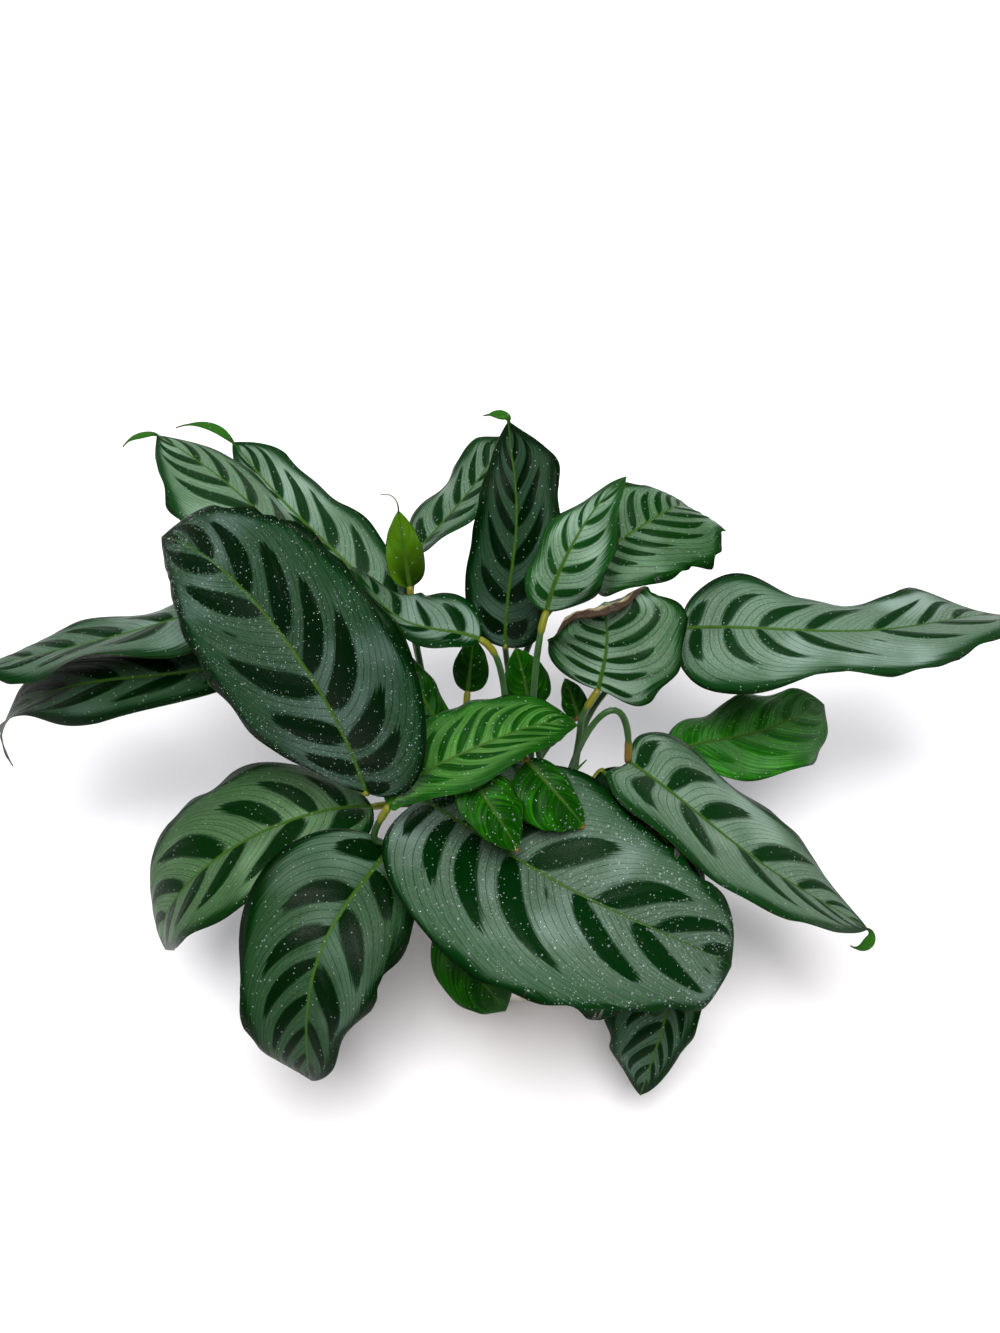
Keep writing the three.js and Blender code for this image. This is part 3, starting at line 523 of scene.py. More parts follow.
def blade(number, leaf, sizes, materials):
    """One leaf blade: a thin shell round its middle surface, quilted between the veins, with a rib beneath."""
    rng = np.random.default_rng(BLADE_SEED + number)
    section, facings = blade_section()
    rows = blade_rows(leaf)
    bm = bmesh.new()
    bmesh.ops.create_grid(bm, x_segments=len(section) - 1, y_segments=len(rows) - 1, size=1)
    column, row = grid_places(bm)
    column = np.rint(column * (len(section) - 1)).astype(int)
    share = rows[np.rint(row * (len(rows) - 1)).astype(int)]
    across, facing = section[column], facings[column]
    out = np.abs(across)
    course = midrib_course(leaf)
    width = half_width(leaf, share, across > 0)
    marks, small = mark_place(leaf, share, across)
    nick = np.sin(2 * np.pi * marks + rng.uniform(0, 6)) + 0.6 * np.sin(5.3 * marks + rng.uniform(0, 6))
    nick = nick + 1.4 - 2.4 * np.abs(np.sin(2.1 * marks + rng.uniform(0, 3)))
    scallop = 1 + sizes.scallop * nick * out**6 * np.clip(width / 20, 0, 1)
    # Painted shade: one half is darkened near the base, where the blade rolls, by lowering its tone there.
    painted_shade = leaf.painted_shade * (1 - ease(share / 0.8)) * ease((across + 0.9) / 0.6)
    points = blade_points(leaf, course, share, across * scallop)
    normals = blade_normals(leaf, course, share, across)
    off, inset = out * width, (1 - out) * width
    puff = np.sin(np.pi * np.clip(out, 0, 1)) ** 0.7 * np.clip(width / 40, 0, 1)
    swell = sizes.quilting / MM * puff * (np.cos(2 * np.pi * marks) + 0.35 * np.cos(6 * np.pi * marks + 1))
    groove = MIDRIB_GROOVE * np.exp(-((off / 1.2) ** 2)) * (1 - share)
    edge = np.sqrt(np.clip(1 - out**8, 0, 1))
    rib = (MIDRIB_DEPTH * (1 - share) ** 0.8 + 1.1 * (1 - ease(share / 0.05))) * np.exp(-((off / 1.4) ** 2))
    depth = facing * sizes.thickness / MM / 2 * edge - np.where(facing < 0, rib, 0)
    put(bm, points + normals * (swell - groove + depth)[:, None])
    # The tone is the leaf's own lightness together with painted light and shade, set for how lit the leaf stands.
    youth, tone, warm = leaf.look
    store(
        bm, marks=marks, small=small, across=across, share=share, off=off, facing=facing,
        inset=np.minimum(inset, (1 - share) * leaf.length * 0.5), fine=vein_place(share, out) * leaf.length,
        youth=youth, tone=tone - painted_shade, warm=warm, dry=leaf.dry, drip=ease(into_tip(leaf, share) * 5),
        fat=leaf.fat, seed=number)
    close_tube(bm)
    layer = bm.verts.layers.float["facing"]
    for face in bm.faces:
        face.material_index = int(sum(vertex[layer] for vertex in face.verts) < 0)
    return new_piece(f"blade_{number:02d}", bm, [f"leaf_{number:02d}_blade"], "leaf_blade", *materials)


def rolled_edge(number, leaf, left_from, right_to, radius, material):
    """The dry margin that rolls up round a blade's tip, and shows its underside."""
    left, right = np.linspace(left_from, 0.96, 14), np.linspace(0.96, right_to, 18)
    ahead = np.concatenate([left, right])
    across = np.concatenate([-np.ones(len(left)), np.ones(len(right))])
    course = midrib_course(leaf)
    lift = blade_normals(leaf, course, ahead, across) * 0.7 * radius
    margin = blade_points(leaf, course, ahead, across) + lift
    for _ in range(4):
        margin[1:-1] = (margin[:-2] + 2 * margin[1:-1] + margin[2:]) / 4

    def radius_at(turn, place, length):
        return 0.3 + radius * np.sin(np.pi * place / length) ** 0.8 * (1 + 0.12 * np.sin(place * 0.9))

    bm, turn, place, length = tube(margin, 12, 60, radius_at)
    # Painted highlight: a pale line along one side of the roll, its upper crest, where light would catch it.
    pale = np.cos(turn + 0.7 + 0.3 * np.sin(place * 0.4))
    store(bm, pale=pale, fine=turn * 2, marks=place * 0.05, off=4, inset=5, dried=0.9)
    close_tube(bm)
    return new_piece(f"rolled_edge_{number:02d}", bm, [], "leaf_blade", material)


# The stalks and the rolled young leaf


def bezier(points, count):
    """Points along the smooth bend that a few points pull out."""
    share = np.linspace(0, 1, count)[:, None]
    while len(points) > 1:
        points = [mix(a, b, share) for a, b in zip(points, points[1:])]
    return points[0]


def even_course(course, rings):
    """The course's points again, at even steps along it, and their places in millimetres."""
    steps = np.linalg.norm(np.diff(course, axis=0), axis=1)
    along = np.concatenate([[0], np.cumsum(steps)])
    places = np.linspace(0, along[-1], rings + 1)
    return np.stack([np.interp(places, along, course[:, i]) for i in range(3)], -1), places


def tube(course, sides, rings, radius_at):
    """A bmesh tube along a course, and each vertex's place round it and along it. radius_at has both."""
    points, places = even_course(course, rings)
    tangents = unit(np.gradient(points, axis=0))
    across = np.cross(tangents[0], (0, 1, 0.1))
    normals = []
    for tangent in tangents:
        across = unit(across - tangent * np.dot(across, tangent))
        normals.append(across)
    normals = np.array(normals)
    bm = bmesh.new()
    bmesh.ops.create_grid(bm, x_segments=sides, y_segments=rings, size=1)
    column, row = grid_places(bm)
    ring = np.rint(row * rings).astype(int)
    turn = 2 * np.pi * column
    place = places[ring]
    radius = radius_at(turn, place, places[-1])[:, None]
    binormals = np.cross(tangents, normals)
    round_it = normals[ring] * np.cos(turn)[:, None] + binormals[ring] * np.sin(turn)[:, None]
    put(bm, points[ring] + round_it * radius)
    return bm, turn, place, places[-1]


def stalk_course(leaf):
    """Straight in the soil, then one bend up to the blade."""
    ground = np.array([*leaf.foot, SOIL_LEVEL], float)
    arrival = direction(math.radians(leaf.heading + leaf.side), math.radians(leaf.rise + leaf.lean))
    base = np.array(leaf.base, float)
    splay = math.radians(leaf.splay)
    outward = unit((base - ground) * (1, 1, 0)) * math.sin(splay)
    leaving = outward + np.array([0, 0, math.cos(splay)])
    bends = [ground, ground + leaving * leaf.lift, base - arrival * leaf.reach, base + 0.3 * arrival]
    return np.vstack([[ground - leaving * STALK_BURIED], bezier(bends, 160)])


def stalk(number, leaf, sizes, material):
    """One stalk: ribbed, thinner towards the blade, with a smooth wrinkled joint under it."""
    joint_length = sizes.joint_length / MM

    def radius_at(turn, place, length):
        share = place / length
        body = mix(STALK_FOOT_RADIUS, STALK_RADIUS, ease(share / 0.5))
        from_blade = length - place
        joint = ease((joint_length - from_blade) / 2.5)
        crease = 0.12 * np.exp(-(((from_blade - joint_length) / 1.1) ** 2))
        ribs = 0.045 * np.cos(6 * turn) * (1 - joint)
        wrinkles = 0.02 * np.sin(from_blade * 2.6) * joint
        radius = mix(body, STALK_JOINT_RADIUS, joint) * (1 + ribs + wrinkles - crease)
        return radius * mix(1, 0.82, ease((2.5 - from_blade) / 2.5))

    bm, turn, place, length = tube(stalk_course(leaf), STALK_SIDES, STALK_RINGS, radius_at)
    store(bm, turn=turn, from_blade=length - place, share=place / length, seed=number)
    close_tube(bm)
    return new_piece(f"stalk_{number:02d}", bm, [f"leaf_{number:02d}_stalk"], "leaf_stalk", material)


def young_leaf(material):
    """The rolled young leaf: a tapering roll with the free margin winding up it."""
    foot = np.array([*SHEATH["foot"], SOIL_LEVEL], float)
    up = np.array([0, 0, 1.0])
    course = bezier([foot, foot + up * SHEATH["lift"], np.array(SHEATH["top"], float)], 120)
    course = np.vstack([[foot - up * STALK_BURIED], course])

    def radius_at(turn, place, length):
        share = place / length
        wound = (turn / (2 * np.pi) + 1.4 * share) % 1
        lip = 0.13 * wound * ease(share / 0.3)
        return SHEATH["radius"] * (1 - 0.85 * share**3) * (0.93 + lip)

    bm, turn, place, length = tube(course, ROLL_SIDES, ROLL_RINGS, radius_at)
    store(bm, turn=turn, place=place)
    close_tube(bm)
    return new_piece("young_leaf_roll", bm, ["young_leaf_sheath"], "sheath", material)


# The pot and the soil


def wall_radius(height):
    """The radius of the pot's outer wall at a height."""
    return mix(POT_FOOT_RADIUS, POT_RIM_RADIUS - RIM_BAND_OUT, height / POT_HEIGHT)


def quarter_round(x, z, start):
    """The rounding of an edge, from an angle in degrees on."""
    angles = [math.radians(start + 90 * i / 6) for i in range(7)]
    return [(x + EDGE_ROUNDING * math.cos(a), z + EDGE_ROUNDING * math.sin(a)) for a in angles]


def lathe(profile, steps):
    """A closed bmesh turned round the upright axis from a profile of radius and height."""
    bm = bmesh.new()
    chain = [bm.verts.new((x, 0, z)) for x, z in profile]
    edges = [bm.edges.new(pair) for pair in zip(chain, chain[1:])]
    bmesh.ops.spin(
        bm, geom=chain + edges, cent=(0, 0, 0), axis=(0, 0, 1), angle=2 * math.pi, steps=steps, use_merge=True)
    bmesh.ops.remove_doubles(bm, verts=bm.verts, dist=1e-4)
    bmesh.ops.recalc_face_normals(bm, faces=bm.faces)
    return bm


def pot(material):
    """The pot: turned, with a band at its rim, then drilled in its floor."""
    band_foot = POT_HEIGHT - RIM_BAND_HEIGHT
    inner = POT_RIM_RADIUS - RIM_BAND_OUT - POT_WALL
    wall = [(wall_radius(z), z) for z in np.linspace(4, band_foot, 22)]
    lining = [(wall_radius(z) - POT_WALL, z) for z in np.linspace(POT_HEIGHT - 4, POT_FLOOR, 22)]
    floor = (0, 18, 32)
    profile = [
        *((x, 0) for x in floor),
        *quarter_round(POT_FOOT_RADIUS - EDGE_ROUNDING, EDGE_ROUNDING, -90),
        *wall,
        *quarter_round(POT_RIM_RADIUS - EDGE_ROUNDING, band_foot + EDGE_ROUNDING, -90),
        *quarter_round(POT_RIM_RADIUS - EDGE_ROUNDING, POT_HEIGHT - EDGE_ROUNDING, 0),
        *quarter_round(inner + EDGE_ROUNDING, POT_HEIGHT - EDGE_ROUNDING, 90),
        *lining,
        *((x, POT_FLOOR) for x in reversed(floor)),
    ]
    piece = new_piece("pot_glazed", lathe(profile, POT_SIDES), ["pot"], "pot", material)
    drills = bmesh.new()
    for i in range(DRAIN_HOLES):
        angle = 2 * math.pi * (i + 0.5) / DRAIN_HOLES
        made = bmesh.ops.create_cone(
            drills, cap_ends=True, segments=32, radius1=DRAIN_HOLE_RADIUS * MM, radius2=DRAIN_HOLE_RADIUS * MM,
            depth=3 * POT_FLOOR * MM)
        centre = Vector((math.cos(angle), math.sin(angle), 0)) * DRAIN_CIRCLE_RADIUS * MM
        bmesh.ops.translate(drills, verts=made["verts"], vec=centre)
    cutter = bpy.data.objects.new("drill", bpy.data.meshes.new("drill"))
    drills.to_mesh(cutter.data)
    drills.free()
    bpy.context.scene.collection.objects.link(cutter)
    holes = piece.modifiers.new("Drainage", "BOOLEAN")
    holes.object = cutter
    holes.solver = "EXACT"
    depsgraph = bpy.context.evaluated_depsgraph_get()
    drilled = bpy.data.meshes.new_from_object(piece.evaluated_get(depsgraph))
    piece.modifiers.clear()
    piece.data = drilled
    bpy.data.objects.remove(cutter)
    drilled.shade_smooth()
    drilled.set_sharp_from_angle(angle=math.radians(40))
    return piece


def soil_height(x, y):
    """The height of the soil's surface at a point, lumps and all."""
    out = min(math.hypot(x, y) / wall_radius(SOIL_LEVEL), 1)
    lumps = math.sin(0.19 * x + 0.7) * math.cos(0.23 * y) + 0.6 * math.sin(0.41 * x - 0.33 * y + 1.9)
    return SOIL_LEVEL + SOIL_DOME * (1 - out**2) + SOIL_RELIEF * lumps * (1 - out**4)


def soil(sizes, material):
    """The soil that fills the pot, crumbly on top."""
    bottom = POT_FLOOR + SOIL_GAP
    rim, foot = (wall_radius(height) - POT_WALL - SOIL_GAP for height in (SOIL_LEVEL, bottom))
    top = [(rim * share, SOIL_LEVEL) for share in np.linspace(1, 0, SOIL_RINGS + 1)]
    bm = lathe([(0, bottom), (foot, bottom), *top], SOIL_SIDES)
    for vertex in bm.verts:
        x, y, z = vertex.co
        if z > SOIL_LEVEL - 1:
            crumbs = sizes.crumbs / MM * noise.fractal(Vector((x, y, 0)) * 0.22, 0.8, 2.1, 5)
            vertex.co.z = soil_height(x, y) + crumbs * min(1, (rim - math.hypot(x, y)) / 3 + 0.2)
    store(bm, pale=0)
    return new_piece("soil_bed", bm, ["soil"], "soil", material)


def many(bm, doublings):
    """Doubles one shape over and over. Gives its points, and each vertex's copy number and corner in the shape."""
    first = np.array([vertex.co for vertex in bm.verts])
    copy, corner = bm.verts.layers.int.new("copy"), bm.verts.layers.int.new("corner")
    for i, vertex in enumerate(bm.verts):
        vertex[corner] = i
    for i in range(doublings):
        made = bmesh.ops.duplicate(bm, geom=[*bm.verts, *bm.edges, *bm.faces])["geom"]
        for vertex in made:
            if isinstance(vertex, bmesh.types.BMVert):
                vertex[copy] += 2**i
    copies = np.array([vertex[copy] for vertex in bm.verts])
    corners = np.array([vertex[corner] for vertex in bm.verts])
    bm.verts.layers.int.remove(copy)
    bm.verts.layers.int.remove(bm.verts.layers.int["corner"])
    return first, copies, corners


def scatter(bm, first, copies, corners, sizes, places, ups, turns):
    """Puts the copies of one shape in place: each stretched, turned about its own axis and stood along its up."""
    side = unit(np.cross(ups, (0.3, 1, 0.2)))
    ahead = np.cross(ups, side)
    turned = side * np.cos(turns)[:, None] + ahead * np.sin(turns)[:, None]
    axes = np.stack([turned, np.cross(ups, turned), ups], 1)
    points = np.einsum("nvi,nij->nvj", first[None] * sizes[:, None], axes) + places[:, None]
    put(bm, points[copies, corners])


def soil_bits(sizes, material):
    """Loose crumbs, chips of bark and pale grains that lie on the soil, clear of the stalks."""
    rng = np.random.default_rng(SOIL_SEED)
    feet = np.array([leaf.foot for leaf in LEAVES] + [SHEATH["foot"]], float)
    bm = bmesh.new()
    bmesh.ops.create_icosphere(bm, subdivisions=1, radius=1)
    first, copies, corners = many(bm, sizes.bit_doublings)
    first = first * rng.uniform(0.8, 1.15, (len(first), 1))
    places = []
    while len(places) < 2**sizes.bit_doublings:
        out = (wall_radius(SOIL_LEVEL) - POT_WALL - 4) * math.sqrt(rng.uniform(0, 1))
        angle = rng.uniform(0, 2 * math.pi)
        x, y = out * math.cos(angle), out * math.sin(angle)
        if np.linalg.norm(feet - (x, y), axis=1).min() > STALK_CLEARANCE:
            places.append((x, y, soil_height(x, y) + 0.3))
    count = len(places)
    pale = rng.uniform(0, 1, count) < 0.13
    radii = rng.uniform(0.5, 1.9, (count, 1))
    radii = radii * np.where(pale[:, None], (1, 1, 0.8), rng.uniform(0.5, 1.3, (count, 3)))
    ups = unit(rng.normal(0, 0.35, (count, 3)) + (0, 0, 1))
    scatter(bm, first, copies, corners, radii, np.array(places), ups, rng.uniform(0, 6.28, count))
    store(bm, pale=pale[copies])
    bits = new_piece("soil_bits", bm, [], "soil", material)
    bits.data.shade_flat()
    return bits


# Water drops on the upper blades


def water_drops(number, leaf, doublings, radius, sizes, material):
    """Drops that stand on a blade's upper face."""
    rng = np.random.default_rng(DROP_SEED + number)
    bm = bmesh.new()
    bmesh.ops.create_uvsphere(bm, u_segments=6, v_segments=4, radius=1)
    first, copies, corners = many(bm, doublings)
    count = 2**doublings
    course = midrib_course(leaf)
    share = rng.uniform(0.03, 0.96 - leaf.tip, count)
    across = rng.uniform(-0.94, 0.94, count)
    points = blade_points(leaf, course, share, across)
    ups = blade_normals(leaf, course, share, across)
    radii = (radius * np.exp(rng.normal(0, 0.38, count)))[:, None] * (1, 0.85, 0.5)
    places = points + ups * (sizes.thickness / MM / 2 + 0.1 * radii[:, :1])
    scatter(bm, first, copies, corners, radii, places, ups, rng.uniform(0, 6.28, count))
    return new_piece(f"drops_{number:02d}", bm, [], "leaf_blade", material)


def tip_hair(number, leaf, material):
    """The dry hair that curls back from the tip of a young leaf."""
    tip = midrib_course(leaf)[-1]
    bends = [tip - (0, 1, 1), tip + (0.5, 4, 4), tip + (-3, 8, 6), tip + (-10, 7, 5)]

    def radius_at(turn, place, length):
        return mix(0.5, 0.25, place / length)

    bm, turn, place, length = tube(bezier(bends, 40), 8, 24, radius_at)
    store(bm, turn=turn, from_blade=length - place, share=0, seed=number)
    close_tube(bm)
    return new_piece(f"tip_hair_{number:02d}", bm, [], "leaf_blade", material)


# Materials


def paint(code):
    """A colour from its six-digit code, as Blender's own linear values."""
    parts = [int(code[i : i + 2], 16) / 255 for i in (0, 2, 4)]
    return (*[p / 12.92 if p <= 0.04045 else ((p + 0.055) / 1.055) ** 2.4 for p in parts], 1)


class Finish:
    """A material that is filled in a node at a time. Each call gives the socket to use next."""

    def __init__(self, name, **constants):
        self.material = bpy.data.materials.new(name)
        self.material.use_nodes = True
        self.tree = self.material.node_tree
        self.skin = self.tree.nodes["Principled BSDF"]
        for socket, value in constants.items():
            self.skin.inputs[socket.replace("_", " ")].default_value = value

    def feed(self, socket, value):
        if isinstance(value, bpy.types.NodeSocket):
            self.tree.links.new(value, socket)
        else:
            socket.default_value = value

    def add(self, kind, values=(), output=0, **settings):
        node = self.tree.nodes.new("ShaderNode" + kind)
        for name, value in settings.items():
            setattr(node, name, value)
        for socket, value in dict(values).items():
            self.feed(node.inputs[socket], value)
        return node.outputs[output]

    def reads(self, *names):
        """The numbers that are kept on the piece under these names."""
        return [self.add("Attribute", output="Fac", attribute_name=name) for name in names]

    def math(self, operation, *values):
        return self.add("Math", enumerate(values), operation=operation)

    def scale(self, value, by, *plus):
        """A value times another, with a third added where one is given."""
        return self.math("MULTIPLY_ADD" if plus else "MULTIPLY", value, by, *plus)

    def less(self, a, b):
        return self.math("SUBTRACT", a, b)

    def blend(self, share, a, b):
        return self.add("Mix", {0: share, 6: a, 7: b}, output=2, data_type="RGBA")

    def coats(self, ground, *coats):
        """A ground with one colour after another laid over it, each by its own share."""
        for share, colour in coats:
            ground = self.blend(share, ground, colour)
        return ground

    def tint(self, share, a, b):
        """One colour laid over another, which darkens it as a wash does."""
        return self.add("Mix", {0: share, 6: a, 7: b}, output=2, data_type="RGBA", blend_type="MULTIPLY")

    def ramp(self, value, low, high, start=0.0, end=1.0):
        values = {0: value, 1: low, 2: high, 3: start, 4: end}
        return self.add("MapRange", values, interpolation_type="SMOOTHSTEP")

    def number(self, share, a, b):
        return self.add("Mix", {0: share, 2: a, 3: b}, data_type="FLOAT")

    def place(self, scale=(1, 1, 1)):
        spot = self.add("TexCoord", output="Object")
        return self.add("Mapping", {0: spot, 3: scale})

    def grain(self, scale, detail=3.0, roughness=0.5, place=None):
        values = {0: place or self.place(), 2: scale, 3: detail, 4: roughness}
        return self.add("TexNoise", values)

    def vector(self, x, y, z):
        return self.add("CombineXYZ", {0: x, 1: y, 2: z})

    def bump(self, height, distance, strength=1.0, under=None):
        values = {"Strength": strength, "Distance": distance, "Height": height}
        if under:
            values["Normal"] = under
        return self.add("Bump", values)

    def finish(self, colour, roughness, normal):
        self.feed(self.skin.inputs["Base Color"], colour)
        self.feed(self.skin.inputs["Roughness"], roughness)
        self.feed(self.skin.inputs["Normal"], normal)
        return self.material


def oval_mask(look, marks, out, side, seed):
    """1 inside the dark ovals that lie along the side veins, one at each whole number of marks."""
    small, fat = look.reads("small", "fat")
    cell = look.math("ROUND", marks)
    apart = look.math("ABSOLUTE", look.less(marks, cell))
    chance = look.add(
        "TexWhiteNoise", {0: look.vector(cell, side, seed)}, output="Color", noise_dimensions="3D")
    parts = look.tree.nodes.new("ShaderNodeSeparateColor")
    look.feed(parts.inputs[0], chance)
    spot = look.math("GREATER_THAN", small, 0.02)
    last = look.number(spot, look.scale(parts.outputs[1], 0.12, 0.6), look.math("ADD", small, 0.06))
    first = look.number(spot, -0.05, look.less(small, 0.06))
    along = look.math("DIVIDE", look.less(out, first), look.less(last, first))
    skewed = look.math("POWER", look.math("MAXIMUM", along, 0), 1.2)
    bow = look.math("ABSOLUTE", look.scale(skewed, 2, -1))
    blunt = look.math("MAXIMUM", look.less(1, look.math("POWER", bow, 2.8)), 0)
    height = look.number(spot, look.scale(parts.outputs[2], 0.06, fat), 0.1)
    reach = look.scale(look.math("POWER", blunt, 0.5), height)
    return look.ramp(look.less(reach, apart), 0, 0.11)


def blade_top(colours):
    """A blade's upper face: dark ovals between silver bands, a green margin and a yellow-green midrib."""
    look = Finish("Leaf upper face", Specular_IOR_Level=0.06)
    across, share, seed, off, inset, fine = look.reads("across", "share", "seed", "off", "inset", "fine")
    youth, tone, warm, drip, dry, places = look.reads("youth", "tone", "warm", "drip", "dry", "marks")
    out = look.math("ABSOLUTE", across)
    side = look.math("GREATER_THAN", across, 0)
    cloud = look.grain(60, 4)
    streaks = look.grain(1, 4, 0.65, look.vector(look.scale(fine, 0.8), look.scale(off, 0.05), seed))
    cells = look.grain(1, 3, 0.6, look.vector(look.scale(fine, 1.5), look.scale(off, 0.8), seed))
    fray = look.less(streaks, 0.5)
    marks = look.scale(fray, 0.14, look.scale(cells, 0.08, places))
    dark = oval_mask(look, marks, look.scale(fray, 0.2, out), side, seed)
    lines = look.math("SINE", look.scale(look.scale(cells, 0.8, fine), 2 * math.pi / FINE_VEINS))
    veins = look.ramp(look.math("ABSOLUTE", lines), 0.08, 0.26, 1.0, 0.0)
    silver = look.coats(
        colours.silver,
        (look.ramp(streaks, 0.0, 0.9), colours.silver_light),
        (look.ramp(cells, 0.42, 0.62, 0, 0.4), colours.silver_shade),
        (look.ramp(out, 0.5, 1.0, 0, 0.6), colours.silver_shade),
        # Painted sheen: pale cloudy patches over the silver bands stand in for the gloss of reflected light.
        (look.ramp(look.grain(16, 2), 0.5, 0.7, 0, 0.5), colours.painted_sheen),
        (look.scale(veins, 0.6), colours.vein),
    )
    band = look.ramp(look.scale(fray, 9.0, inset), 3.0, 7.0, 1.0, 0.0)
    oval = look.blend(look.ramp(streaks, 0.45, 0.75, 0, 0.35), colours.oval, colours.margin)
    marked = look.coats(silver, (band, colours.margin), (dark, oval))
    plain = look.coats(
        colours.young,
        (look.ramp(streaks, 0.38, 0.66), colours.young_vein),
        (look.scale(veins, 0.4), colours.margin),
        (look.scale(dark, 0.3), colours.margin),
        (look.ramp(cloud, 0.42, 0.6, 0.6, 0), colours.young),
    )
    colour = look.blend(youth, marked, plain)
    colour = look.blend(warm, colour, look.tint(1.0, colour, colours.warmth))
    colour = look.blend(look.ramp(warm, 0.85, 1.0, 0, 0.85), colour, colours.fresh)
    # The tone lightens or darkens the whole blade: its own lightness, with painted light and shade for how lit it
    # stands.
    depth = look.scale(look.math("MINIMUM", tone, 0), look.scale(warm, 0.85, -0.85), 1.0)
    colour = look.add("HueSaturation", {1: depth, 2: look.scale(tone, 1.42, 1.42), 4: colour})
    # Fine drops over the blade: their bump is real, and their pale colour is a painted glint of light on the water.
    grains = {0: look.place(), 2: 420.0}
    distance = look.add("TexVoronoi", grains, output="Distance")
    size = look.ramp(look.add("TexVoronoi", grains, output="Color"), 0.3, 0.75, 0, 0.17)
    wet = look.math("LESS_THAN", distance, size)
    colour = look.coats(
        colour,
        (look.scale(drip, 0.8), colours.young_vein),
        (look.ramp(look.scale(share, 1.1, off), 0.8, 1.9, 1.0, 0.0), colours.midrib),
        (look.ramp(inset, 0.3, 0.7, 0.35, 0), colours.edge),
        (look.scale(dry, look.ramp(look.scale(fray, 0.1, share), 0.95, 0.985)), colours.scorch),
        (look.scale(wet, 0.45), colours.dew_glint),
    )
    rough = look.scale(cloud, 0.16, look.scale(cells, 0.1, 0.2))
    relief = look.scale(lines, 0.35, look.scale(wet, 0.5, cells))
    return look.finish(colour, rough, look.bump(relief, 0.0004, 0.6))


def blade_under(colours):
    """A blade's underside: paler, matt, with raised veins and a purple-brown cast, or dried where it is rolled,
    with a painted highlight along the roll's crest.
    """
    look = Finish("Leaf underside", Specular_IOR_Level=0.25)
    fine, marks, off, inset, dried, pale = look.reads("fine", "marks", "off", "inset", "dried", "pale")
    cloud = look.grain(45, 4)
    lines = look.math("SINE", look.scale(fine, 2 * math.pi / 2.3))
    shade = look.math("COSINE", look.scale(marks, 2 * math.pi))
    colour = look.coats(
        colours.under,
        (look.ramp(cloud, 0.3, 0.7), colours.under_cast),
        (look.ramp(shade, -0.2, 0.9, 0, 0.35), colours.under_cast),
        (look.ramp(lines, 0.3, 1.0, 0, 0.3), colours.under_vein),
        (look.ramp(off, 0.9, 1.8, 1, 0), colours.under_vein),
        (look.ramp(inset, 0.4, 1.4, 0.6, 0), colours.margin),
        (dried, look.blend(look.ramp(pale, 0.55, 1.0), colours.dried, colours.painted_crest_highlight)),
    )
    rough = look.scale(cloud, 0.15, 0.45)
    relief = look.scale(lines, 1.0, look.grain(1200, 2))
    return look.finish(colour, rough, look.bump(relief, 0.0003, 0.6))


def stalk_skin(colours):
    """A stalk: ribbed green, darker at its foot, with a yellow-orange joint under the blade."""
    look = Finish("Stalk skin", Specular_IOR_Level=0.35)
    share, from_blade, turn, seed = look.reads("share", "from_blade", "turn", "seed")
    streaks = look.grain(220, 3, place=look.place((1, 1, 0.12)))
    joint = look.ramp(look.scale(streaks, 4.0, from_blade), 11.0, 16.0, 1.0, 0.0)
    chance = look.add("TexWhiteNoise", {1: seed}, noise_dimensions="1D")
    colour = look.coats(
        colours.foot,
        (look.ramp(share, 0.05, 0.5), colours.stalk),
        (look.ramp(streaks, 0.4, 0.75, 0, 0.5), colours.foot),
        (joint, look.blend(look.ramp(chance, 0.3, 0.8), colours.joint, colours.joint_brown)),
    )
    ribs = look.math("SINE", look.scale(turn, 9))
    rough = look.scale(streaks, 0.2, 0.32)
    relief = look.scale(ribs, 0.4, streaks)
    return look.finish(colour, rough, look.bump(relief, 0.0002, 0.5))


def young_leaf_skin(colours):
    """The rolled young leaf: plain green, with fine veins that wind up it."""
    look = Finish("Rolled young leaf", Specular_IOR_Level=0.35)
    turn, place = look.reads("turn", "place")
    wound = look.scale(place, 0.09, turn)
    lines = look.math("SINE", look.scale(wound, 11))
    cloud = look.grain(90, 3)
    colour = look.coats(
        colours.young,
        (look.ramp(cloud, 0.35, 0.7), colours.young_vein),
        (look.ramp(lines, 0.2, 1.0, 0, 0.4), colours.midrib),
    )
    rough = look.scale(cloud, 0.2, 0.3)
    return look.finish(colour, rough, look.bump(lines, 0.0002, 0.5))


def drop_water():
    """Clear water, given a pale colour as a painted reflection of the light that a small bead throws back."""
    look = Finish("Water drop", Alpha=0.17, Specular_IOR_Level=0.6, Coat_Weight=0.35, Coat_Roughness=0.08)
    cloud = look.grain(900, 1)
    # The near-white colour is a painted reflection; the gloss and coat are real.
    colour = look.blend(cloud, paint("cfe0dc"), paint("f4fbff"))
    rough = look.scale(cloud, 0.04, 0.03)
    return look.finish(colour, rough, look.bump(cloud, 0.00005, 0.2))


def pot_glaze(colours):
    """A matt off-white glaze with turning rings, fine specks and a warmer foot."""
    look = Finish("Pot glaze", Specular_IOR_Level=0.5, Coat_Weight=0.1, Coat_Roughness=0.35)
    height = look.add("SeparateXYZ", {0: look.add("TexCoord", output="Object")}, output=2)
    cloud = look.grain(28, 5)
    rings = look.grain(1, 4, place=look.place((6, 6, 420)))
    specks = look.ramp(look.grain(700, 2), 0.68, 0.74)
    colour = look.coats(
        colours.glaze,
        (look.ramp(cloud, 0.3, 0.7), colours.glaze_warm),
        (look.ramp(height, 0.0, 0.02, 0.6, 0.0), colours.glaze_warm),
        (look.scale(specks, 0.5), colours.speck),
    )
    rough = look.scale(cloud, 0.2, 0.36)
    relief = look.scale(rings, 1.2, cloud)
    return look.finish(colour, rough, look.bump(relief, 0.0006, 0.35))


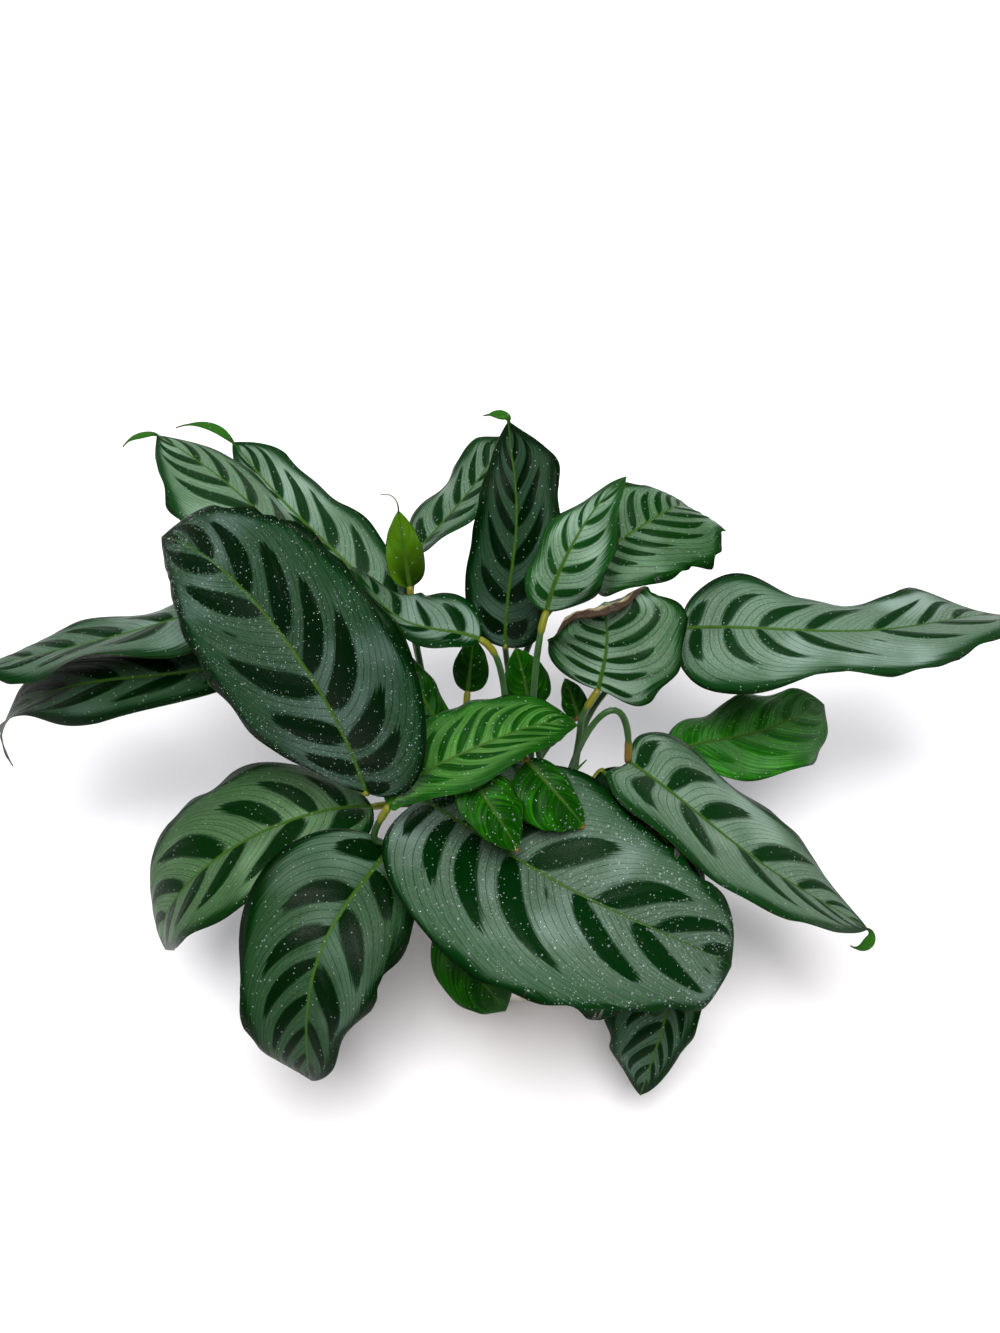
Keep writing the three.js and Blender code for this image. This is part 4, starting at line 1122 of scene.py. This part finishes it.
def soil_earth(colours):
    """Dark damp peat with lighter fibres, and pale mineral grains."""
    look = Finish("Potting soil", Specular_IOR_Level=0.25)
    cloud = look.grain(120, 6, 0.65)
    crumbs = look.grain(900, 3, 0.6)
    (pale,) = look.reads("pale")
    colour = look.coats(
        colours.soil,
        (look.ramp(cloud, 0.35, 0.68), colours.soil_dry),
        (look.ramp(crumbs, 0.55, 0.7, 0, 0.5), colours.fibre),
        (pale, look.blend(look.ramp(crumbs, 0.4, 0.6), paint("cfcabd"), paint("efece4"))),
    )
    rough = look.scale(cloud, 0.15, 0.8)
    relief = look.scale(crumbs, 0.6, cloud)
    return look.finish(colour, rough, look.bump(relief, 0.0012, 0.9))


def floor_paper():
    """The pale matt floor."""
    look = Finish("Pale floor", Specular_IOR_Level=0.2)
    cloud = look.grain(3, 3)
    colour = look.blend(cloud, paint("f3f2f4"), paint("f6f5f7"))
    rough = look.scale(cloud, 0.1, 0.7)
    return look.finish(colour, rough, look.bump(look.grain(400, 2), 0.0002, 0.1))


# Sizes and colours that a user may change


def length_value(name, description, millimetres):
    return FloatProperty(
        name=name, description=description, default=millimetres * MM, min=0, precision=5, subtype="DISTANCE",
        unit="LENGTH")


def colour_value(name, description, code):
    return FloatVectorProperty(
        name=name, description=description, default=paint(code), size=4, min=0, max=1, subtype="COLOR")


class PlantSizes(bpy.types.PropertyGroup):
    thickness: length_value("Blade thickness", "Thickness of a blade", 0.6)
    quilting: length_value("Quilting", "Height of the swelling between side veins", 0.45)
    scallop: FloatProperty(
        name="Scallop", description="How far the margin wanders, as a share of the width", default=0.026, min=0,
        max=0.2, subtype="FACTOR")
    joint_length: length_value("Joint length", "Length of the joint under a blade", 13)
    crumbs: length_value("Crumb height", "Height of the soil's crumbs", 1.1)
    drop_radius: length_value("Drop radius", "Usual radius of a water drop", 0.4)
    bit_doublings: IntProperty(
        name="Loose bits", description="How many times one loose bit on the soil is doubled", default=9, min=0)
    light: FloatProperty(name="Light", description="Strength of the studio light", default=1.0, min=0)


class PlantColours(bpy.types.PropertyGroup):
    oval: colour_value("Ovals", "The dark ovals between the side veins", "051f08")
    silver: colour_value("Silver", "The silver-green bands", "394b3c")
    silver_light: colour_value("Light silver", "The light streaks of the silver bands", "586b5c")
    silver_shade: colour_value("Silver shade", "The darker parts of the silver bands", "173a1c")
    # A painted sheen: a pale colour laid in patches where reflected light would show.
    painted_sheen: colour_value("Painted_sheen", "The pale bloom over parts of the silver bands", "7f918a")
    vein: colour_value("Fine veins", "The fine veins over the silver bands", "08200f")
    margin: colour_value("Margin", "The green band along the margins", "08260b")
    midrib: colour_value("Midrib", "The midrib on the upper face", "35561a")
    edge: colour_value("Edge", "The thin line at the very margin", "3f5a2c")
    young: colour_value("Young blade", "A young blade without ovals", "0a3205")
    young_vein: colour_value("Young veins", "The pale streaks of a young blade", "2c6a18")
    warmth: colour_value("Warm green", "What turns a fresh blade yellow-green", "b4f05a")
    fresh: colour_value("Fresh yellow", "The yellow-green of the freshest blades", "4a7412")
    scorch: colour_value("Dry tip", "The dried tips of two small blades", "8f6018")
    # The pale colour of the finest drops is a painted glint.
    dew_glint: colour_value("Dew", "The finest drops on the blades", "9fb3a6")
    under: colour_value("Underside", "The underside of a blade", "4a5f50")
    under_cast: colour_value("Underside cast", "The brown-purple cast of an underside", "3d3238")
    under_vein: colour_value("Underside veins", "The raised veins of an underside", "6a7c5a")
    dried: colour_value("Dried edge", "The rolled edge of one blade", "3e2c1c")
    # A painted highlight along the crest of the rolled edge.
    painted_crest_highlight: colour_value("Pale dried edge", "The pale lines of the rolled edge", "b0a47c")
    stalk: colour_value("Stalk", "The stalks", "2a5020")
    foot: colour_value("Stalk foot", "The stalks near the soil", "16240f")
    joint: colour_value("Joint", "The joint under most blades", "6e7210")
    joint_brown: colour_value("Brown joint", "The joint under the older blades", "6a5418")
    glaze: colour_value("Glaze", "The pot's glaze", "e9e5dc")
    glaze_warm: colour_value("Warm glaze", "The glaze where it is thin", "d9d0bf")
    speck: colour_value("Specks", "The specks in the glaze", "7a6c5a")
    soil: colour_value("Damp soil", "The soil where it is damp", "241a12")
    soil_dry: colour_value("Dry soil", "The soil where it is drier", "4a3827")
    fibre: colour_value("Fibres", "The fibres in the soil", "6b5238")


class PlantSettings(bpy.types.PropertyGroup):
    sizes: PointerProperty(name="Sizes", description="Sizes of the finer detail", type=PlantSizes)
    colours: PointerProperty(name="Colours", description="Colours of the finishes", type=PlantColours)


def chosen(context):
    """The sizes and the colours that are set for the plant."""
    return context.scene.plant.sizes, context.scene.plant.colours


# One step of the making each


class PLANT_OT_blades(bpy.types.Operator):
    """Grow the 28 leaf blades, each over its solid"""

    bl_idname = "plant.blades"
    bl_label = "Leaf Blades"

    def execute(self, context):
        sizes, colours = chosen(context)
        faces = [blade_top(colours), blade_under(colours)]
        for number, leaf in enumerate(LEAVES, 1):
            blade(number, leaf, sizes, faces)
        rolled_edge(14, LEAVES[13], left_from=0.62, right_to=0.8, radius=2.4, material=faces[1])
        return {"FINISHED"}


class PLANT_OT_stalks(bpy.types.Operator):
    """Grow the stalk of each leaf, and the rolled young leaf among them"""

    bl_idname = "plant.stalks"
    bl_label = "Stalks and Young Leaf"

    def execute(self, context):
        sizes, colours = chosen(context)
        skin = stalk_skin(colours)
        for number, leaf in enumerate(LEAVES, 1):
            stalk(number, leaf, sizes, skin)
        young_leaf(young_leaf_skin(colours))
        tip_hair(9, LEAVES[8], skin)
        return {"FINISHED"}


class PLANT_OT_pot(bpy.types.Operator):
    """Turn the pot and fill it with soil and loose bits"""

    bl_idname = "plant.pot"
    bl_label = "Pot and Soil"

    def execute(self, context):
        sizes, colours = chosen(context)
        pot(pot_glaze(colours))
        earth = soil_earth(colours)
        soil(sizes, earth)
        soil_bits(sizes, earth)
        return {"FINISHED"}


class PLANT_OT_drops(bpy.types.Operator):
    """Stand water drops on the wet blades"""

    bl_idname = "plant.drops"
    bl_label = "Water Drops"

    def execute(self, context):
        sizes, _ = chosen(context)
        water = drop_water()
        for number, (doublings, size) in WET_BLADES.items():
            water_drops(number, LEAVES[number - 1], doublings, size * sizes.drop_radius / MM, sizes, water)
        return {"FINISHED"}


class PLANT_OT_stage(bpy.types.Operator):
    """Lay the pale floor, hang the soft lights and set up the camera"""

    bl_idname = "plant.stage"
    bl_label = "Stage"

    def execute(self, context):
        scene = context.scene
        bm = bmesh.new()
        bmesh.ops.create_grid(bm, x_segments=8, y_segments=8, size=6)
        floor = bpy.data.objects.new("floor", bpy.data.meshes.new("floor"))
        bm.to_mesh(floor.data)
        bm.free()
        floor.data.materials.append(floor_paper())
        scene.collection.objects.link(floor)
        strength = scene.plant.sizes.light
        lights = (
            ("window", (-0.45, 1.1, 1.5), 0.45, 10, (0.93, 0.97, 1.0)),
            ("overhead", (0.0, -0.75, 3.2), 1.6, 124, (1.0, 0.99, 0.98)),
        )
        for name, spot, size, power, colour in lights:
            lamp = bpy.data.lights.new(name, "AREA")
            lamp.shape, lamp.size = "DISK", size
            lamp.energy, lamp.color = power * strength, colour
            holder = bpy.data.objects.new(name, lamp)
            holder.location = spot
            holder.rotation_euler = (Vector(spot) - Vector((0, 0, 0.15))).to_track_quat("Z", "Y").to_euler()
            scene.collection.objects.link(holder)
        world = bpy.data.worlds.new("soft room")
        world.use_nodes = True
        sky = world.node_tree.nodes["Background"]
        sky.inputs[0].default_value = (1.0, 0.98, 1.0, 1)
        sky.inputs[1].default_value = 0.24 * strength
        scene.world = world
        camera = bpy.data.objects.new("camera", bpy.data.cameras.new("camera"))
        camera.location = CAMERA_PLACE
        camera.rotation_euler = (math.radians(CAMERA_TILT), 0, 0)
        camera.data.sensor_width = SENSOR
        camera.data.lens = SENSOR * FOCAL_LENGTH / PICTURE_HEIGHT
        camera.data.clip_end = 30
        scene.collection.objects.link(camera)
        scene.camera = camera
        scene.view_settings.view_transform = "Standard"
        return {"FINISHED"}


class PLANT_PT_sidebar(bpy.types.Panel):
    """The steps of the plant's making, its sizes and its colours"""

    bl_idname = "PLANT_PT_sidebar"
    bl_label = "Peacock Plant"
    bl_space_type = "VIEW_3D"
    bl_region_type = "UI"
    bl_category = "Plant"

    def draw(self, context):
        for step in STEPS:
            self.layout.operator(step.bl_idname)
        for group in (context.scene.plant.sizes, context.scene.plant.colours):
            for name in group.__annotations__:
                self.layout.prop(group, name)


STEPS = (PLANT_OT_stage, PLANT_OT_pot, PLANT_OT_blades, PLANT_OT_stalks, PLANT_OT_drops)
CLASSES = (PlantSizes, PlantColours, PlantSettings, *STEPS, PLANT_PT_sidebar)


def register():
    for one in CLASSES:
        bpy.utils.register_class(one)
    bpy.types.Scene.plant = PointerProperty(type=PlantSettings)


def unregister():
    del bpy.types.Scene.plant
    for one in reversed(CLASSES):
        bpy.utils.unregister_class(one)


def main():
    register()
    steps = bpy.ops.plant
    for make in (steps.stage, steps.pot, steps.blades, steps.stalks, steps.drops):
        make()
    bpy.context.view_layer.update()


if __name__ == "__main__":
    main()
